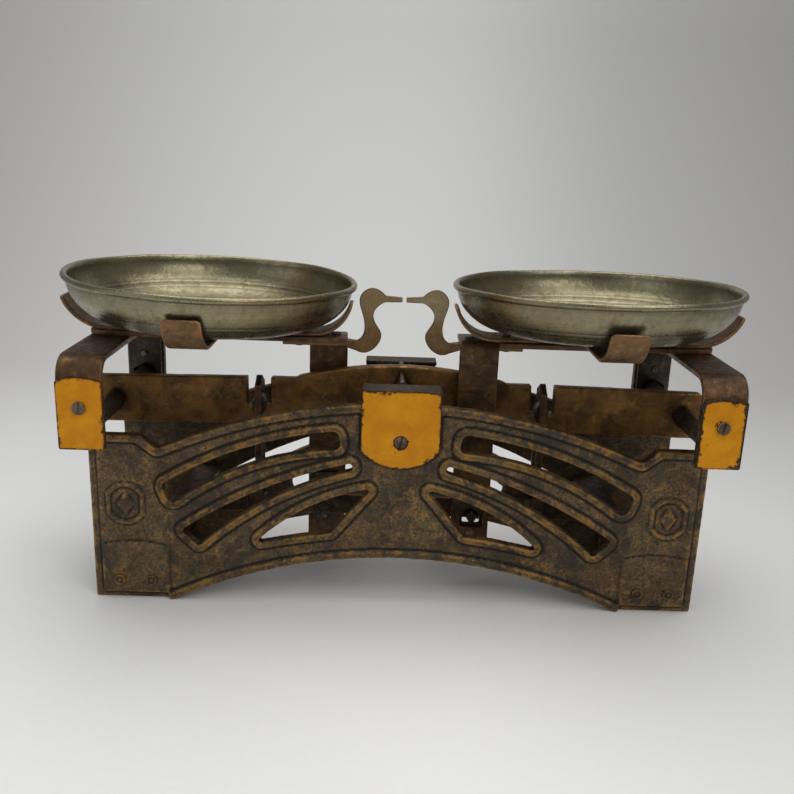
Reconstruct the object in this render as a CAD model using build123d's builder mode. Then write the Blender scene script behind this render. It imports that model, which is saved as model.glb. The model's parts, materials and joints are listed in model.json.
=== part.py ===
from build123d import *
import math
import os

# Equal arm counter balance of the two-lever kind.  X runs along the beam, Y from front to back and
# Z up.  The origin lies on the floor, under the centre knife.  All sizes are in millimetres.

# Clearances
BEARING_GAP = 0.3      # between a knife edge and the seat that it rocks in
REST_GAP = 0.3         # under a pan that stands on its arms
RIVET_GAP = 0.05       # around a rivet or screw shank in its hole
HEAD_GAP = 0.4         # around a screw head that is let into a cap
TIP_GAP = 0.8          # between a knife's end and the plate that stops it

# The two identical castings
FRAME_LENGTH = 360.0
FRAME_WIDTH = 80.8
CASTING_EDGE = 7.0     # thickness at the raised rims
RIM_HEIGHT = 1.8
RIM_WIDTH = 4.5
SLOT_BORDER = 4.0
CROWN_HEIGHT = 126.5
CROWN_RADIUS = 330.0
ARCH_RISE = 31.3
FOOT_LENGTH = 47.0
POST_WIDTH = 31.0
POST_HEIGHT = 103.6
DIP_DEPTH = 8.2        # depth of the dip beside each post
DIP_FILLET = 5.0
POST_FILLET = 2.5
DIP_FOLLOW = 1.1        # how the dip and the post's corner follow an inset of the outline
POST_FOLLOW = 0.6
DIP_OFFSET = 8.5       # from the post to the bottom of the dip
SHOULDER_OFFSET = 18.0  # from the post to the end of the crown's arc

# Pierced slots as (along, up) fractions of the half panel: three points of the upper edge,
# running outwards, then three of the lower edge, running back
SLOT_SHAPES = (
    ((0.242, 0.842), (0.546, 0.833), (0.926, 0.767), (0.893, 0.617), (0.55, 0.723), (0.225, 0.725)),
    ((0.185, 0.633), (0.534, 0.542), (0.852, 0.434), (0.785, 0.288), (0.533, 0.451), (0.181, 0.587)),
    ((0.107, 0.463), (0.326, 0.387), (0.55, 0.215), (0.544, 0.196), (0.384, 0.187), (0.266, 0.184)),
)
SLOT_CORNERS = (3.6, 1.7, 0.9)

# Raised beads on the posts
BEAD_WIDTH = 1.4
BEAD_HEIGHT = 1.0
MEDALLION_WIDTH = 21.0
MEDALLION_HEIGHT = 25.0
MEDALLION_CENTRE = 61.0
MEDALLION_INSET = 20.6  # from the end of the casting
MEDALLION_CUT = 4.5
MEDALLION_ARCH = 1.6    # rise of its top and bottom edges
PLATE_WIDTH = 39.0
PLATE_HEIGHT = 29.5
PLATE_ARCH = 3.0
STEP_WIDTH = 5.4       # step down at the ends of the casting
STEP_HEIGHT = 4.0      # step down under the foot plates
STEP_DEPTH = 1.2

# End ties between the castings
TIE_WIDTH = 34.0
TIE_HEIGHT = 18.0
TIE_BASE = 4.0
TIE_THICKNESS = 3.5
TIE_SCREW_SPACING = 18.7
TIE_SCREW_HEIGHT = 12.5
TIE_INSET = 24.9       # from the casting's end to the middle of the tie

# Screws and rivets
SCREW_RADIUS = 2.0
SCREW_HEAD_RADIUS = 3.6
SCREW_HEAD_HEIGHT = 1.6
SCREW_SLOT_WIDTH = 1.1
SCREW_SLOT_DEPTH = 0.9
RIVET_RADIUS = 1.6
RIVET_HEAD_RADIUS = 3.0
RIVET_HEAD_HEIGHT = 1.2

# Beam
KNIFE_LINE = 121.0     # height of the three knife edges of the beam
BEAM_ARM = 172.0       # centre knife to end knife
LINK_ARM = 86.0        # centre knife to link knife
BEAM_THICKNESS = 7.0
BEAM_BOTTOM = 101.0
BEAM_TOP = 130.4
HUMP_TOP = 140.0
HUMP_RADIUS = 237.0
HUMP_HALF = 62.0
BEAM_TAIL = 11.5       # beyond the end knife
BEAM_DROOP = (1.8, 1.0)     # fall of the top and bottom edges, from the notch to the end
BEAM_CHAMFER = 1.5
HUMP_STEP = 1.5
NOTCH_WIDTH = 14.0
NOTCH_FLOOR = 113.0

# Knives, as (width, height) of their kite sections
KNIFE_SHOULDER = 0.42  # height of the widest place, as a share of the section
KNIFE_BACK = 2.0       # width of the blunt back
CENTRE_KNIFE = (9.0, 15.5)
CENTRE_KNIFE_END = (9.0, 11.0)
CENTRE_KNIFE_BODY = 26.0
END_KNIFE = (11.5, 13.6)
LINK_KNIFE = (9.0, 14.7)
LEVER_KNIFE = (7.5, 8.0)

# Centre bearings and their caps
SEAT_WIDTH = 20.0
SEAT_HEIGHT = 18.0
SEAT_MOUTH = 15.0
SEAT_DEPTH = 11.7      # below the bottom of its groove
OVERCUT = 20.0
CAP_WIDTH = 45.0
CAP_THICKNESS = 2.2
CAP_TOP = 135.5
CAP_SHOULDER = 99.0
CAP_BOTTOM = 89.0
CAP_FLANGE = 14.6      # reach of the top flange over the knife
CAP_SCREW_HEIGHT = 104.6

# Auxiliary levers
LEVER_LINE = 51.5      # height of the lever's knife edges
FULCRUM_X = 126.0
LEVER_LEG_X = 46.0     # where the pan carrier's leg stands on the lever
LEVER_THICKNESS = 6.0
LEVER_BOTTOM = 42.7
LEVER_ARM_TOP = 56.3
LEVER_ARM_END = 18.0
LEVER_HEAD_TOP = 67.0
LEVER_HEAD_INNER = 66.0
LEVER_HEAD_OUTER = 103.0
LEVER_RAMP_FOOT = 12.0    # from the fulcrum to the foot of the ramp up to the head
LEVER_TAIL_TOP = 54.3
LEVER_TAIL = 8.0
LEVER_NOTCH_TOP = 55.5
LEVER_FILLET = 6.0

# Fulcrum bridges
BRIDGE_WIDTH = 18.0
BRIDGE_BASE = 55.7
BRIDGE_THICKNESS = 5.0
LUG_INNER = 5.0
LUG_THICKNESS = 7.0
LUG_DROP = 11.5
LUG_MOUTH = 11.0
SEAT_SHOULDER = 3.5    # from a lever knife's edge down to the flanks of its mouth
TENON_RADIUS = 2.2
TENON_LENGTH = 3.2

# Links
LINK_THICKNESS = 4.0
LINK_WIDTH = 18.0
LINK_WINDOW = 8.8
LINK_HEAD = 10.0       # metal above and below the window
LINK_SEAT_RISE = 1.0

# Pan carriers
BAR_WIDTH = 25.0
BAR_THICKNESS = 3.2
BAR_BASE = 154.8
BAR_INNER_END = 33.5
BAR_OVERHANG = 13.0    # beyond the end knife
LEG_WIDTH = 23.2
LEG_BOTTOM = 16.0
LEG_BEND = 6.0
LEG_WINDOW = 14.0
LEG_WINDOW_TOP = 6.0    # above the lever's knife edge
LEG_WINDOW_HEIGHT = 16.5
STRAP_WIDTH = 24.7
STRAP_THICKNESS = 3.4
STRAP_SPAN = 135.2     # over the outside of its two legs
STRAP_BOTTOM = 104.0
STRAP_BEND = 13.0
STRAP_NOTCH = 15.0
STRAP_NOTCH_TOP = 124.0
STRAP_SEAT_THICKNESS = 3.5
STRAP_SEAT_WIDTH = 22.0
STRAP_SEAT_TOP = 139.0
STRAP_SEAT_BOTTOM = 109.0
STRAP_SEAT_MOUTH = 15.0
COVER_THICKNESS = 1.4
COVER_TOP = 142.0
COVER_ARCH = 2.0
COVER_SCREW_HEIGHT = 127.6
LEG_SEAT_WIDTH = 17.0
LEG_SEAT_HEIGHT = 33.0
LEG_SEAT_THICKNESS = 3.0
LEG_SEAT_MOUTH = 10.6
LEG_SEAT_DROP = 9.5    # from the knife edge to the bottom of the seat's window
LEG_SEAT_OFFSET = 1.0  # from the knife edge down to the middle of the seat
RIVET_MARGIN = 3.5     # from the end of the seat to its rivet

# Pans and the crossed arms under them
PAN_X = 113.6
PAN_RADIUS = 84.6
PAN_FLOOR_RADIUS = 54.0
PAN_WALL = 1.2
PAN_DEPTH = 27.1       # from the outside of the floor to the top of the rim
RIM_BEAD = 1.8
LIP_INSET = 1.2         # from the middle of the bead to the outside of the wall
WALL_BULGE = (12.6, 6.8)    # point the wall curves through: in from the rim, up from the base
RIGHT_PAN_LEAN = (-1.7, -0.86, 2.6)   # degrees about X and Y, and the lift that this needs
LEFT_PAN_LEAN = (0.0, 2.05, 1.9)
ARM_WIDTH = 21.0
ARM_THICKNESS = 2.2
ARM_FLAT = 60.0
ARM_TIP_RISE = 19.4
ARM_REACH = 83.5
ARM_OUTER_REACH = 87.0
ARM_CORNER = 3.0

# Bird-shaped pointers
POINTER_THICKNESS = 3.0
POINTER_GAP = 2.3      # between the two bills
TANG_WIDTH = 12.0
TANG_LENGTH = 36.0
TWIST_LENGTH = 8.0
NECK_HEIGHT = 6.4      # height of the upright plate where the twist begins
NECK_DROP = 2.0        # from the middle of the tang to the middle of the neck
NECK_REACH = 6.0       # the twist begins this far inside the bar's end
BILL_LENGTH = 10.0
BILL_TIP = (23.5, 26.4)     # heights above the bar's base
BILL_ROOT = (23.3, 27.1)
# From the bill's tip and above the bar's base: over the head and down the back, then up the breast
BIRD_BACK = ((13.0, 29.8), (18.4, 31.4), (25.0, 26.2), (23.4, 15.5), (22.2, 8.4), (22.8, 3.8))
BIRD_BREAST = ((22.0, -7.7), (14.4, -3.2), (12.0, 3.7), (15.8, 10.7), (16.8, 16.4), (14.2, 20.6))

# Places of the rivets
STRAP_RIVET_STEP = 7.0
ARM_RIVET_STEP = 7.0
POINTER_RIVET_STEPS = (6.5, 28.5)      # from the bar's inner end

# Worked out from the sizes above
HALF_LENGTH = FRAME_LENGTH / 2
OUTER_FACE = FRAME_WIDTH / 2
INNER_FACE = OUTER_FACE - CASTING_EDGE
PANEL_FACE = OUTER_FACE - RIM_HEIGHT
POST_X = HALF_LENGTH - POST_WIDTH
FOOT_X = HALF_LENGTH - FOOT_LENGTH
TIE_X = HALF_LENGTH - TIE_INSET
MEDALLION_X = HALF_LENGTH - MEDALLION_INSET
ARCH_RADIUS = (FOOT_X**2 + ARCH_RISE**2) / (2 * ARCH_RISE)
SEAT_BOTTOM = KNIFE_LINE - BEARING_GAP - SEAT_DEPTH
BAR_TOP = BAR_BASE + BAR_THICKNESS
LONG_ARM_TOP = BAR_TOP + ARM_THICKNESS
CROSS_ARM_TOP = LONG_ARM_TOP + ARM_THICKNESS
PAN_BASE = CROSS_ARM_TOP + REST_GAP
STRAP_OUTER = STRAP_SPAN / 2
STRAP_INNER = STRAP_OUTER - STRAP_THICKNESS
LEG_OUTER = BAR_WIDTH / 2
LEG_INNER = LEG_OUTER - BAR_THICKNESS
LEVER_HALF = LEVER_THICKNESS / 2
STRAP_RIVETS = tuple((BEAM_ARM - STRAP_RIVET_STEP, side * STRAP_RIVET_STEP) for side in (-1, 1))
ARM_RIVETS = tuple((PAN_X + side * ARM_RIVET_STEP, 0.0) for side in (-1, 1))
POINTER_RIVETS = tuple((BAR_INNER_END + step, 0.0) for step in POINTER_RIVET_STEPS)


def facing_front(depth):
    """Sketch plane that looks at the front; its local y is Z, and it lies at Y = -depth."""
    return Plane.XZ.offset(depth)


def crown_height(x, inset=0.0):
    """Height of the crown's arc, or of the arc that lies inside it by an inset."""
    return CROWN_HEIGHT - CROWN_RADIUS + math.sqrt((CROWN_RADIUS - inset)**2 - x**2)


def arch_height(x):
    return ARCH_RISE - ARCH_RADIUS + math.sqrt(ARCH_RADIUS**2 - x**2)


def panel_point(along, up):
    """Point of the half panel between the lower arch and the crown."""
    x = along * POST_X
    low = arch_height(x) if x < FOOT_X else 0.0
    return (x, low + up * (crown_height(x) - low))


def casting_outline(inset, end, low):
    """Outline of the casting: crown and arch moved in by an inset, ends at X = end, feet at Z = low."""
    shoulder = POST_X - SHOULDER_OFFSET
    dip = (POST_X - DIP_OFFSET, POST_HEIGHT - DIP_DEPTH - DIP_FOLLOW * inset)
    post = (POST_X + POST_FOLLOW * inset, POST_HEIGHT - inset)
    foot = math.sqrt((ARCH_RADIUS + inset)**2 - (ARCH_RADIUS - ARCH_RISE + low)**2)
    with BuildSketch() as outline:
        with BuildLine():
            ThreePointArc((-shoulder, crown_height(shoulder, inset)), (0, CROWN_HEIGHT - inset),
                          (shoulder, crown_height(shoulder, inset)))
            ThreePointArc((-foot, low), (0, ARCH_RISE + inset), (foot, low))
            for side in (-1, 1):
                Polyline((side * shoulder, crown_height(shoulder, inset)), (side * dip[0], dip[1]),
                         (side * post[0], post[1]), (side * end, post[1]), (side * end, low),
                         (side * foot, low))
        make_face()
        dips = outline.vertices().filter_by(lambda v: abs(abs(v.X) - dip[0]) < 0.01)
        fillet(dips, radius=DIP_FILLET)
        shoulders = outline.vertices().filter_by(lambda v: abs(abs(v.X) - post[0]) < 0.01)
        fillet(shoulders, radius=POST_FILLET)
    return outline.sketch


def slot_face(shape, corner):
    points = [panel_point(along, up) for along, up in shape]
    with BuildSketch() as face:
        with BuildLine():
            upper = ThreePointArc(*points[:3])
            lower = ThreePointArc(*points[3:])
            Line(upper @ 1, lower @ 0)
            Line(lower @ 1, upper @ 0)
        make_face()
        fillet(face.vertices(), radius=corner)
    return face.sketch


def shield_face():
    """Outline of a bearing cap, and of the boss that it lies on."""
    half = CAP_WIDTH / 2
    with BuildSketch() as face:
        with BuildLine():
            Polyline((-half, CAP_SHOULDER), (-half, CAP_TOP), (half, CAP_TOP),
                     (half, CAP_SHOULDER))
            ThreePointArc((-half, CAP_SHOULDER), (0, CAP_BOTTOM), (half, CAP_SHOULDER))
        make_face()
    return face.sketch


def medallion_face(inset):
    half_width = MEDALLION_WIDTH / 2 - inset
    half_height = MEDALLION_HEIGHT / 2 - inset
    cut = MEDALLION_CUT - inset / 2
    edge = half_width - cut
    brow = half_height - MEDALLION_ARCH
    with BuildSketch() as face:
        with BuildLine():
            for turn in (-1, 1):
                Polyline((turn * edge, -brow), (turn * half_width, cut - brow),
                         (turn * half_width, brow - cut), (turn * edge, brow))
                ThreePointArc((-edge, turn * brow), (0, turn * half_height), (edge, turn * brow))
        make_face()
    return face.sketch


def foot_plate_face():
    """Raised plate on a post; it runs under the step at the casting's end and base."""
    half = PLATE_WIDTH / 2
    with BuildSketch() as face:
        with BuildLine():
            Polyline((-half, PLATE_HEIGHT), (-half, 0), (half, 0), (half, PLATE_HEIGHT))
            ThreePointArc((-half, PLATE_HEIGHT), (0, PLATE_HEIGHT + PLATE_ARCH),
                          (half, PLATE_HEIGHT))
        make_face()
    return face.sketch


def tie_screw_points():
    return [(side * TIE_X + step * TIE_SCREW_SPACING / 2, TIE_SCREW_HEIGHT)
            for side in (-1, 1) for step in (-1, 1)]


def casting():
    """Front casting; the back one is the same piece turned half round."""
    outline = casting_outline(0, HALF_LENGTH, 0)
    field = casting_outline(RIM_WIDTH, HALF_LENGTH + RIM_WIDTH, -RIM_WIDTH)
    slots = [slot_face(*item) for item in zip(SLOT_SHAPES, SLOT_CORNERS)]
    with BuildPart() as body:
        with BuildSketch(facing_front(INNER_FACE)):
            add(outline)
        extrude(amount=CASTING_EDGE - RIM_HEIGHT)
        with BuildSketch(facing_front(PANEL_FACE)):
            add(outline)
            add(field, mode=Mode.SUBTRACT)
            for slot in slots:
                border = offset(slot, amount=SLOT_BORDER, mode=Mode.PRIVATE)
                add(border)
                mirror(border, about=Plane.YZ)
            add(shield_face())
            add(outline, mode=Mode.INTERSECT)
        extrude(amount=RIM_HEIGHT)
        with BuildSketch(facing_front(PANEL_FACE)):
            for side in (-1, 1):
                with Locations((side * MEDALLION_X, MEDALLION_CENTRE)):
                    add(medallion_face(0))
                    add(medallion_face(BEAD_WIDTH), mode=Mode.SUBTRACT)
                with Locations((side * TIE_X, STEP_HEIGHT)):
                    add(foot_plate_face())
        extrude(amount=BEAD_HEIGHT)
        with BuildSketch(facing_front(PANEL_FACE - STEP_DEPTH)):
            for side in (-1, 1):
                with Locations((side * HALF_LENGTH, -1)):
                    Rectangle(2 * STEP_WIDTH, POST_HEIGHT - RIM_WIDTH - 1,
                              align=(Align.CENTER, Align.MIN))
                with Locations((side * TIE_X, 0)):
                    Rectangle(PLATE_WIDTH, 2 * STEP_HEIGHT)
        extrude(amount=STEP_DEPTH + RIM_HEIGHT, mode=Mode.SUBTRACT)
        with BuildSketch(facing_front(INNER_FACE)):
            for slot in slots:
                add(slot)
                mirror(slot, about=Plane.YZ)
            with Locations((0, SEAT_BOTTOM)):
                Rectangle(SEAT_WIDTH, SEAT_HEIGHT + OVERCUT, align=(Align.CENTER, Align.MIN))
            with Locations((0, CAP_SCREW_HEIGHT)):
                Circle(SCREW_RADIUS + RIVET_GAP)
            with Locations(*tie_screw_points()):
                Circle(SCREW_RADIUS + RIVET_GAP)
        extrude(amount=CASTING_EDGE, mode=Mode.SUBTRACT)
        with BuildSketch(facing_front(INNER_FACE)):
            with Locations((-FULCRUM_X, BRIDGE_BASE + BRIDGE_THICKNESS / 2),
                           (FULCRUM_X, BRIDGE_BASE + BRIDGE_THICKNESS / 2)):
                Circle(TENON_RADIUS + RIVET_GAP)
        extrude(amount=TENON_LENGTH + RIVET_GAP, mode=Mode.SUBTRACT)
    return body.part


def end_tie():
    """Channel that holds the two castings apart at the right-hand feet."""
    half = INNER_FACE
    inner = half - TIE_THICKNESS
    top = TIE_BASE + TIE_HEIGHT
    with BuildPart() as tie:
        with BuildSketch(Plane.YZ.offset(TIE_X - TIE_WIDTH / 2)):
            with BuildLine():
                Polyline((-half, TIE_BASE), (-half, top), (half, top), (half, TIE_BASE),
                         (inner, TIE_BASE), (inner, top - TIE_THICKNESS),
                         (-inner, top - TIE_THICKNESS), (-inner, TIE_BASE), close=True)
            make_face()
        extrude(amount=TIE_WIDTH)
        with BuildSketch(facing_front(INNER_FACE)):
            for x, z in tie_screw_points()[2:]:
                with Locations((x, z)):
                    Circle(SCREW_RADIUS + RIVET_GAP)
        extrude(amount=-2 * INNER_FACE, mode=Mode.SUBTRACT)
    return tie.part


def slotted_screw(x, z, seat, length, slot_angle):
    """Screw that is driven from the front; its head stands on the plane Y = -seat."""
    with BuildPart() as screw:
        with BuildSketch(facing_front(seat - length)):
            with Locations((x, z)):
                Circle(SCREW_RADIUS)
        extrude(amount=length)
        with BuildSketch(facing_front(seat)):
            with Locations((x, z)):
                Circle(SCREW_HEAD_RADIUS)
        extrude(amount=SCREW_HEAD_HEIGHT)
        with BuildSketch(facing_front(seat + SCREW_HEAD_HEIGHT - SCREW_SLOT_DEPTH)):
            with Locations(Location((x, z), slot_angle)):
                Rectangle(3 * SCREW_HEAD_RADIUS, SCREW_SLOT_WIDTH)
        extrude(amount=SCREW_SLOT_DEPTH, mode=Mode.SUBTRACT)
    return screw.part


def knife_bar(x, edge, section, front, back, edge_up):
    """Kite-section knife along Y, with its edge at height edge."""
    width, height = section
    turn = -1 if edge_up else 1
    shoulder = edge + turn * KNIFE_SHOULDER * height
    spine = edge + turn * height
    with BuildPart() as bar:
        with BuildSketch(facing_front(-back)):
            with BuildLine():
                Polyline((x, edge), (x + width / 2, shoulder), (x + KNIFE_BACK / 2, spine),
                         (x - KNIFE_BACK / 2, spine), (x - width / 2, shoulder), close=True)
            make_face()
        extrude(amount=back - front)
    return bar.part


def centre_knife():
    tip = OUTER_FACE - TIP_GAP
    body = knife_bar(0, KNIFE_LINE, CENTRE_KNIFE, -CENTRE_KNIFE_BODY, CENTRE_KNIFE_BODY, False)
    with BuildPart() as knife:
        add(knife_bar(0, KNIFE_LINE, CENTRE_KNIFE_END, -tip, tip, False))
        add(body)
    return knife.part


def end_knife():
    tip = STRAP_OUTER - TIP_GAP
    return knife_bar(BEAM_ARM, KNIFE_LINE, END_KNIFE, -tip, tip, True)


def link_knife():
    half = LINK_WINDOW / 2 - BEARING_GAP
    return knife_bar(LINK_ARM, KNIFE_LINE, LINK_KNIFE, -half, half, True)


def main_beam():
    tail = BEAM_ARM + BEAM_TAIL
    hump_end = HUMP_TOP - HUMP_RADIUS + math.sqrt(HUMP_RADIUS**2 - HUMP_HALF**2)
    with BuildPart() as beam:
        with BuildSketch(facing_front(-BEAM_THICKNESS / 2)) as side:
            with BuildLine():
                ThreePointArc((-HUMP_HALF, hump_end), (0, HUMP_TOP), (HUMP_HALF, hump_end))
                for turn in (-1, 1):
                    Polyline((turn * HUMP_HALF, hump_end), (turn * (HUMP_HALF + HUMP_STEP), BEAM_TOP),
                             (turn * LINK_ARM, BEAM_TOP), (turn * tail, BEAM_TOP - BEAM_DROOP[0]),
                             (turn * tail, BEAM_BOTTOM - BEAM_DROOP[1]),
                             (turn * LINK_ARM, BEAM_BOTTOM), (0, BEAM_BOTTOM))
            make_face()
            with Locations((-LINK_ARM, NOTCH_FLOOR), (LINK_ARM, NOTCH_FLOOR)):
                Rectangle(NOTCH_WIDTH, 2 * (BEAM_TOP - NOTCH_FLOOR),
                          align=(Align.CENTER, Align.MIN), mode=Mode.SUBTRACT)
            ends = side.vertices().filter_by(lambda v: abs(abs(v.X) - tail) < 0.01)
            chamfer(ends, length=BEAM_CHAMFER)
        extrude(amount=BEAM_THICKNESS)
        add(centre_knife(), mode=Mode.SUBTRACT)
        for knife in (end_knife(), link_knife()):
            add(knife, mode=Mode.SUBTRACT)
            add(knife.rotate(Axis.Z, 180), mode=Mode.SUBTRACT)
    return beam.part


def centre_bearing():
    """Hardened seat in the front casting, with a groove that the centre knife rocks in."""
    top = SEAT_BOTTOM + SEAT_HEIGHT
    with BuildPart() as seat:
        with BuildSketch(facing_front(INNER_FACE)):
            with BuildLine():
                Polyline((-SEAT_WIDTH / 2, SEAT_BOTTOM), (SEAT_WIDTH / 2, SEAT_BOTTOM),
                         (SEAT_WIDTH / 2, top), (SEAT_MOUTH / 2, top),
                         (0, KNIFE_LINE - BEARING_GAP), (-SEAT_MOUTH / 2, top),
                         (-SEAT_WIDTH / 2, top), close=True)
            make_face()
        extrude(amount=CASTING_EDGE)
    return seat.part


def bearing_cap():
    with BuildPart() as cap:
        with BuildSketch(facing_front(OUTER_FACE)):
            add(shield_face())
        extrude(amount=CAP_THICKNESS)
        flange_back = OUTER_FACE + CAP_THICKNESS - CAP_FLANGE
        with BuildSketch(facing_front(flange_back)):
            with Locations((0, CAP_TOP)):
                Rectangle(CAP_WIDTH, CAP_THICKNESS, align=(Align.CENTER, Align.MAX))
        extrude(amount=CAP_FLANGE)
        front_edge = cap.edges().filter_by(Axis.X).group_by(Axis.Z)[-1].sort_by(Axis.Y)[0]
        fillet(front_edge, radius=1.2)
        with BuildSketch(facing_front(OUTER_FACE)):
            with Locations((0, CAP_SCREW_HEIGHT)):
                Circle(SCREW_RADIUS + RIVET_GAP)
        extrude(amount=CAP_THICKNESS, mode=Mode.SUBTRACT)
        with BuildSketch(facing_front(OUTER_FACE + CAP_THICKNESS - SCREW_HEAD_HEIGHT)):
            with Locations((0, CAP_SCREW_HEIGHT)):
                Circle(SCREW_HEAD_RADIUS + HEAD_GAP)
        extrude(amount=SCREW_HEAD_HEIGHT, mode=Mode.SUBTRACT)
    return cap.part


def fulcrum_bridge():
    """Cross bar between the castings; the right-hand lever's fulcrum knife bears up into its lugs."""
    half_mouth = LUG_MOUTH / 2
    low = BRIDGE_BASE - LUG_DROP
    with BuildPart() as bridge:
        with BuildSketch(facing_front(-INNER_FACE)):
            with Locations((FULCRUM_X, BRIDGE_BASE)):
                Rectangle(BRIDGE_WIDTH, BRIDGE_THICKNESS, align=(Align.CENTER, Align.MIN))
        extrude(amount=2 * INNER_FACE)
        with BuildSketch(facing_front(-INNER_FACE - TENON_LENGTH)):
            with Locations((FULCRUM_X, BRIDGE_BASE + BRIDGE_THICKNESS / 2)):
                Circle(TENON_RADIUS)
        extrude(amount=2 * (INNER_FACE + TENON_LENGTH))
        for front in (LUG_INNER, -LUG_INNER - LUG_THICKNESS):
            with BuildSketch(facing_front(front)):
                with BuildLine():
                    Polyline((FULCRUM_X - BRIDGE_WIDTH / 2, BRIDGE_BASE),
                             (FULCRUM_X - BRIDGE_WIDTH / 2, low), (FULCRUM_X - half_mouth, low),
                             (FULCRUM_X - half_mouth, LEVER_LINE - SEAT_SHOULDER),
                             (FULCRUM_X, LEVER_LINE + BEARING_GAP),
                             (FULCRUM_X + half_mouth, LEVER_LINE - SEAT_SHOULDER),
                             (FULCRUM_X + half_mouth, low), (FULCRUM_X + BRIDGE_WIDTH / 2, low),
                             (FULCRUM_X + BRIDGE_WIDTH / 2, BRIDGE_BASE), close=True)
                make_face()
            extrude(amount=LUG_THICKNESS)
    return bridge.part


def fulcrum_knife():
    tip = LUG_INNER + LUG_THICKNESS + 1
    return knife_bar(FULCRUM_X, LEVER_LINE, LEVER_KNIFE, -tip, tip, True)


def lever_link_knife():
    half = LINK_WINDOW / 2 - BEARING_GAP
    return knife_bar(LINK_ARM, LEVER_LINE, LEVER_KNIFE, -half, half, False)


def leg_knife():
    return knife_bar(LEVER_LEG_X, LEVER_LINE, LEVER_KNIFE, -LEG_OUTER - 1, LEVER_HALF, True)


def aux_lever():
    tail = FULCRUM_X + LEVER_TAIL
    with BuildPart() as lever:
        with BuildSketch(facing_front(-LEVER_HALF)) as side:
            with BuildLine():
                Polyline((LEVER_ARM_END, LEVER_BOTTOM), (tail, LEVER_BOTTOM), (tail, LEVER_TAIL_TOP),
                         (FULCRUM_X - LEVER_RAMP_FOOT, LEVER_TAIL_TOP),
                         (LEVER_HEAD_OUTER, LEVER_HEAD_TOP), (LEVER_HEAD_INNER, LEVER_HEAD_TOP),
                         (LEVER_HEAD_INNER, LEVER_ARM_TOP), (LEVER_ARM_END, LEVER_ARM_TOP),
                         close=True)
            make_face()
            inner_corner = side.vertices().filter_by(
                lambda v: abs(v.X - LEVER_HEAD_INNER) < 0.01 and v.Y < LEVER_HEAD_TOP - 1)
            fillet(inner_corner, radius=LEVER_FILLET)
            with Locations((LINK_ARM, LEVER_NOTCH_TOP)):
                Rectangle(NOTCH_WIDTH, 2 * (LEVER_NOTCH_TOP - LEVER_BOTTOM),
                          align=(Align.CENTER, Align.MAX), mode=Mode.SUBTRACT)
        extrude(amount=LEVER_THICKNESS)
        for knife in (fulcrum_knife(), lever_link_knife(), leg_knife()):
            add(knife, mode=Mode.SUBTRACT)
    return lever.part


def link():
    """Plate with one long window: the beam's knife carries its top, the lever hangs in its foot."""
    top = KNIFE_LINE + BEARING_GAP
    foot = LEVER_LINE - BEARING_GAP
    with BuildPart() as plate:
        with BuildSketch(Plane.YZ.offset(LINK_ARM - LINK_THICKNESS / 2)):
            with BuildLine():
                Polyline((-LINK_WIDTH / 2, foot - LINK_HEAD), (LINK_WIDTH / 2, foot - LINK_HEAD),
                         (LINK_WIDTH / 2, top + LINK_HEAD / 2), (0, top + LINK_HEAD),
                         (-LINK_WIDTH / 2, top + LINK_HEAD / 2), close=True)
            make_face()
        extrude(amount=LINK_THICKNESS)
        with BuildSketch(facing_front(-LINK_WINDOW / 2)):
            half = LINK_THICKNESS
            with BuildLine():
                Polyline((LINK_ARM, top), (LINK_ARM + half, top - 2 * LINK_SEAT_RISE),
                         (LINK_ARM + half, foot + 2 * LINK_SEAT_RISE), (LINK_ARM, foot),
                         (LINK_ARM - half, foot + 2 * LINK_SEAT_RISE),
                         (LINK_ARM - half, top - 2 * LINK_SEAT_RISE), close=True)
            make_face()
        extrude(amount=LINK_WINDOW, mode=Mode.SUBTRACT)
    return plate.part


def drill(points):
    """Rivet holes along Z through whatever the active part holds."""
    with BuildSketch(Plane.XY) as holes:
        with Locations(*points):
            Circle(RIVET_RADIUS + RIVET_GAP)
    return extrude(holes.sketch, amount=2 * PAN_BASE)


def rivet(x, y, low, high, flush):
    """Rivet along Z; a flush one is hammered level with the plate on top."""
    heads = ((low, -1),) if flush else ((low, -1), (high, 1))
    with BuildPart() as stud:
        with BuildSketch(Plane.XY.offset(low)):
            with Locations((x, y)):
                Circle(RIVET_RADIUS)
        extrude(amount=high - low)
        for level, direction in heads:
            with BuildSketch(Plane.XY.offset(level)):
                with Locations((x, y)):
                    Circle(RIVET_HEAD_RADIUS)
            extrude(amount=direction * RIVET_HEAD_HEIGHT)
            rim = stud.edges().filter_by(GeomType.CIRCLE).sort_by(Axis.Z)[-1 if direction > 0 else 0]
            fillet(rim, radius=RIVET_HEAD_HEIGHT * 0.8)
    return stud.part


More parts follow.
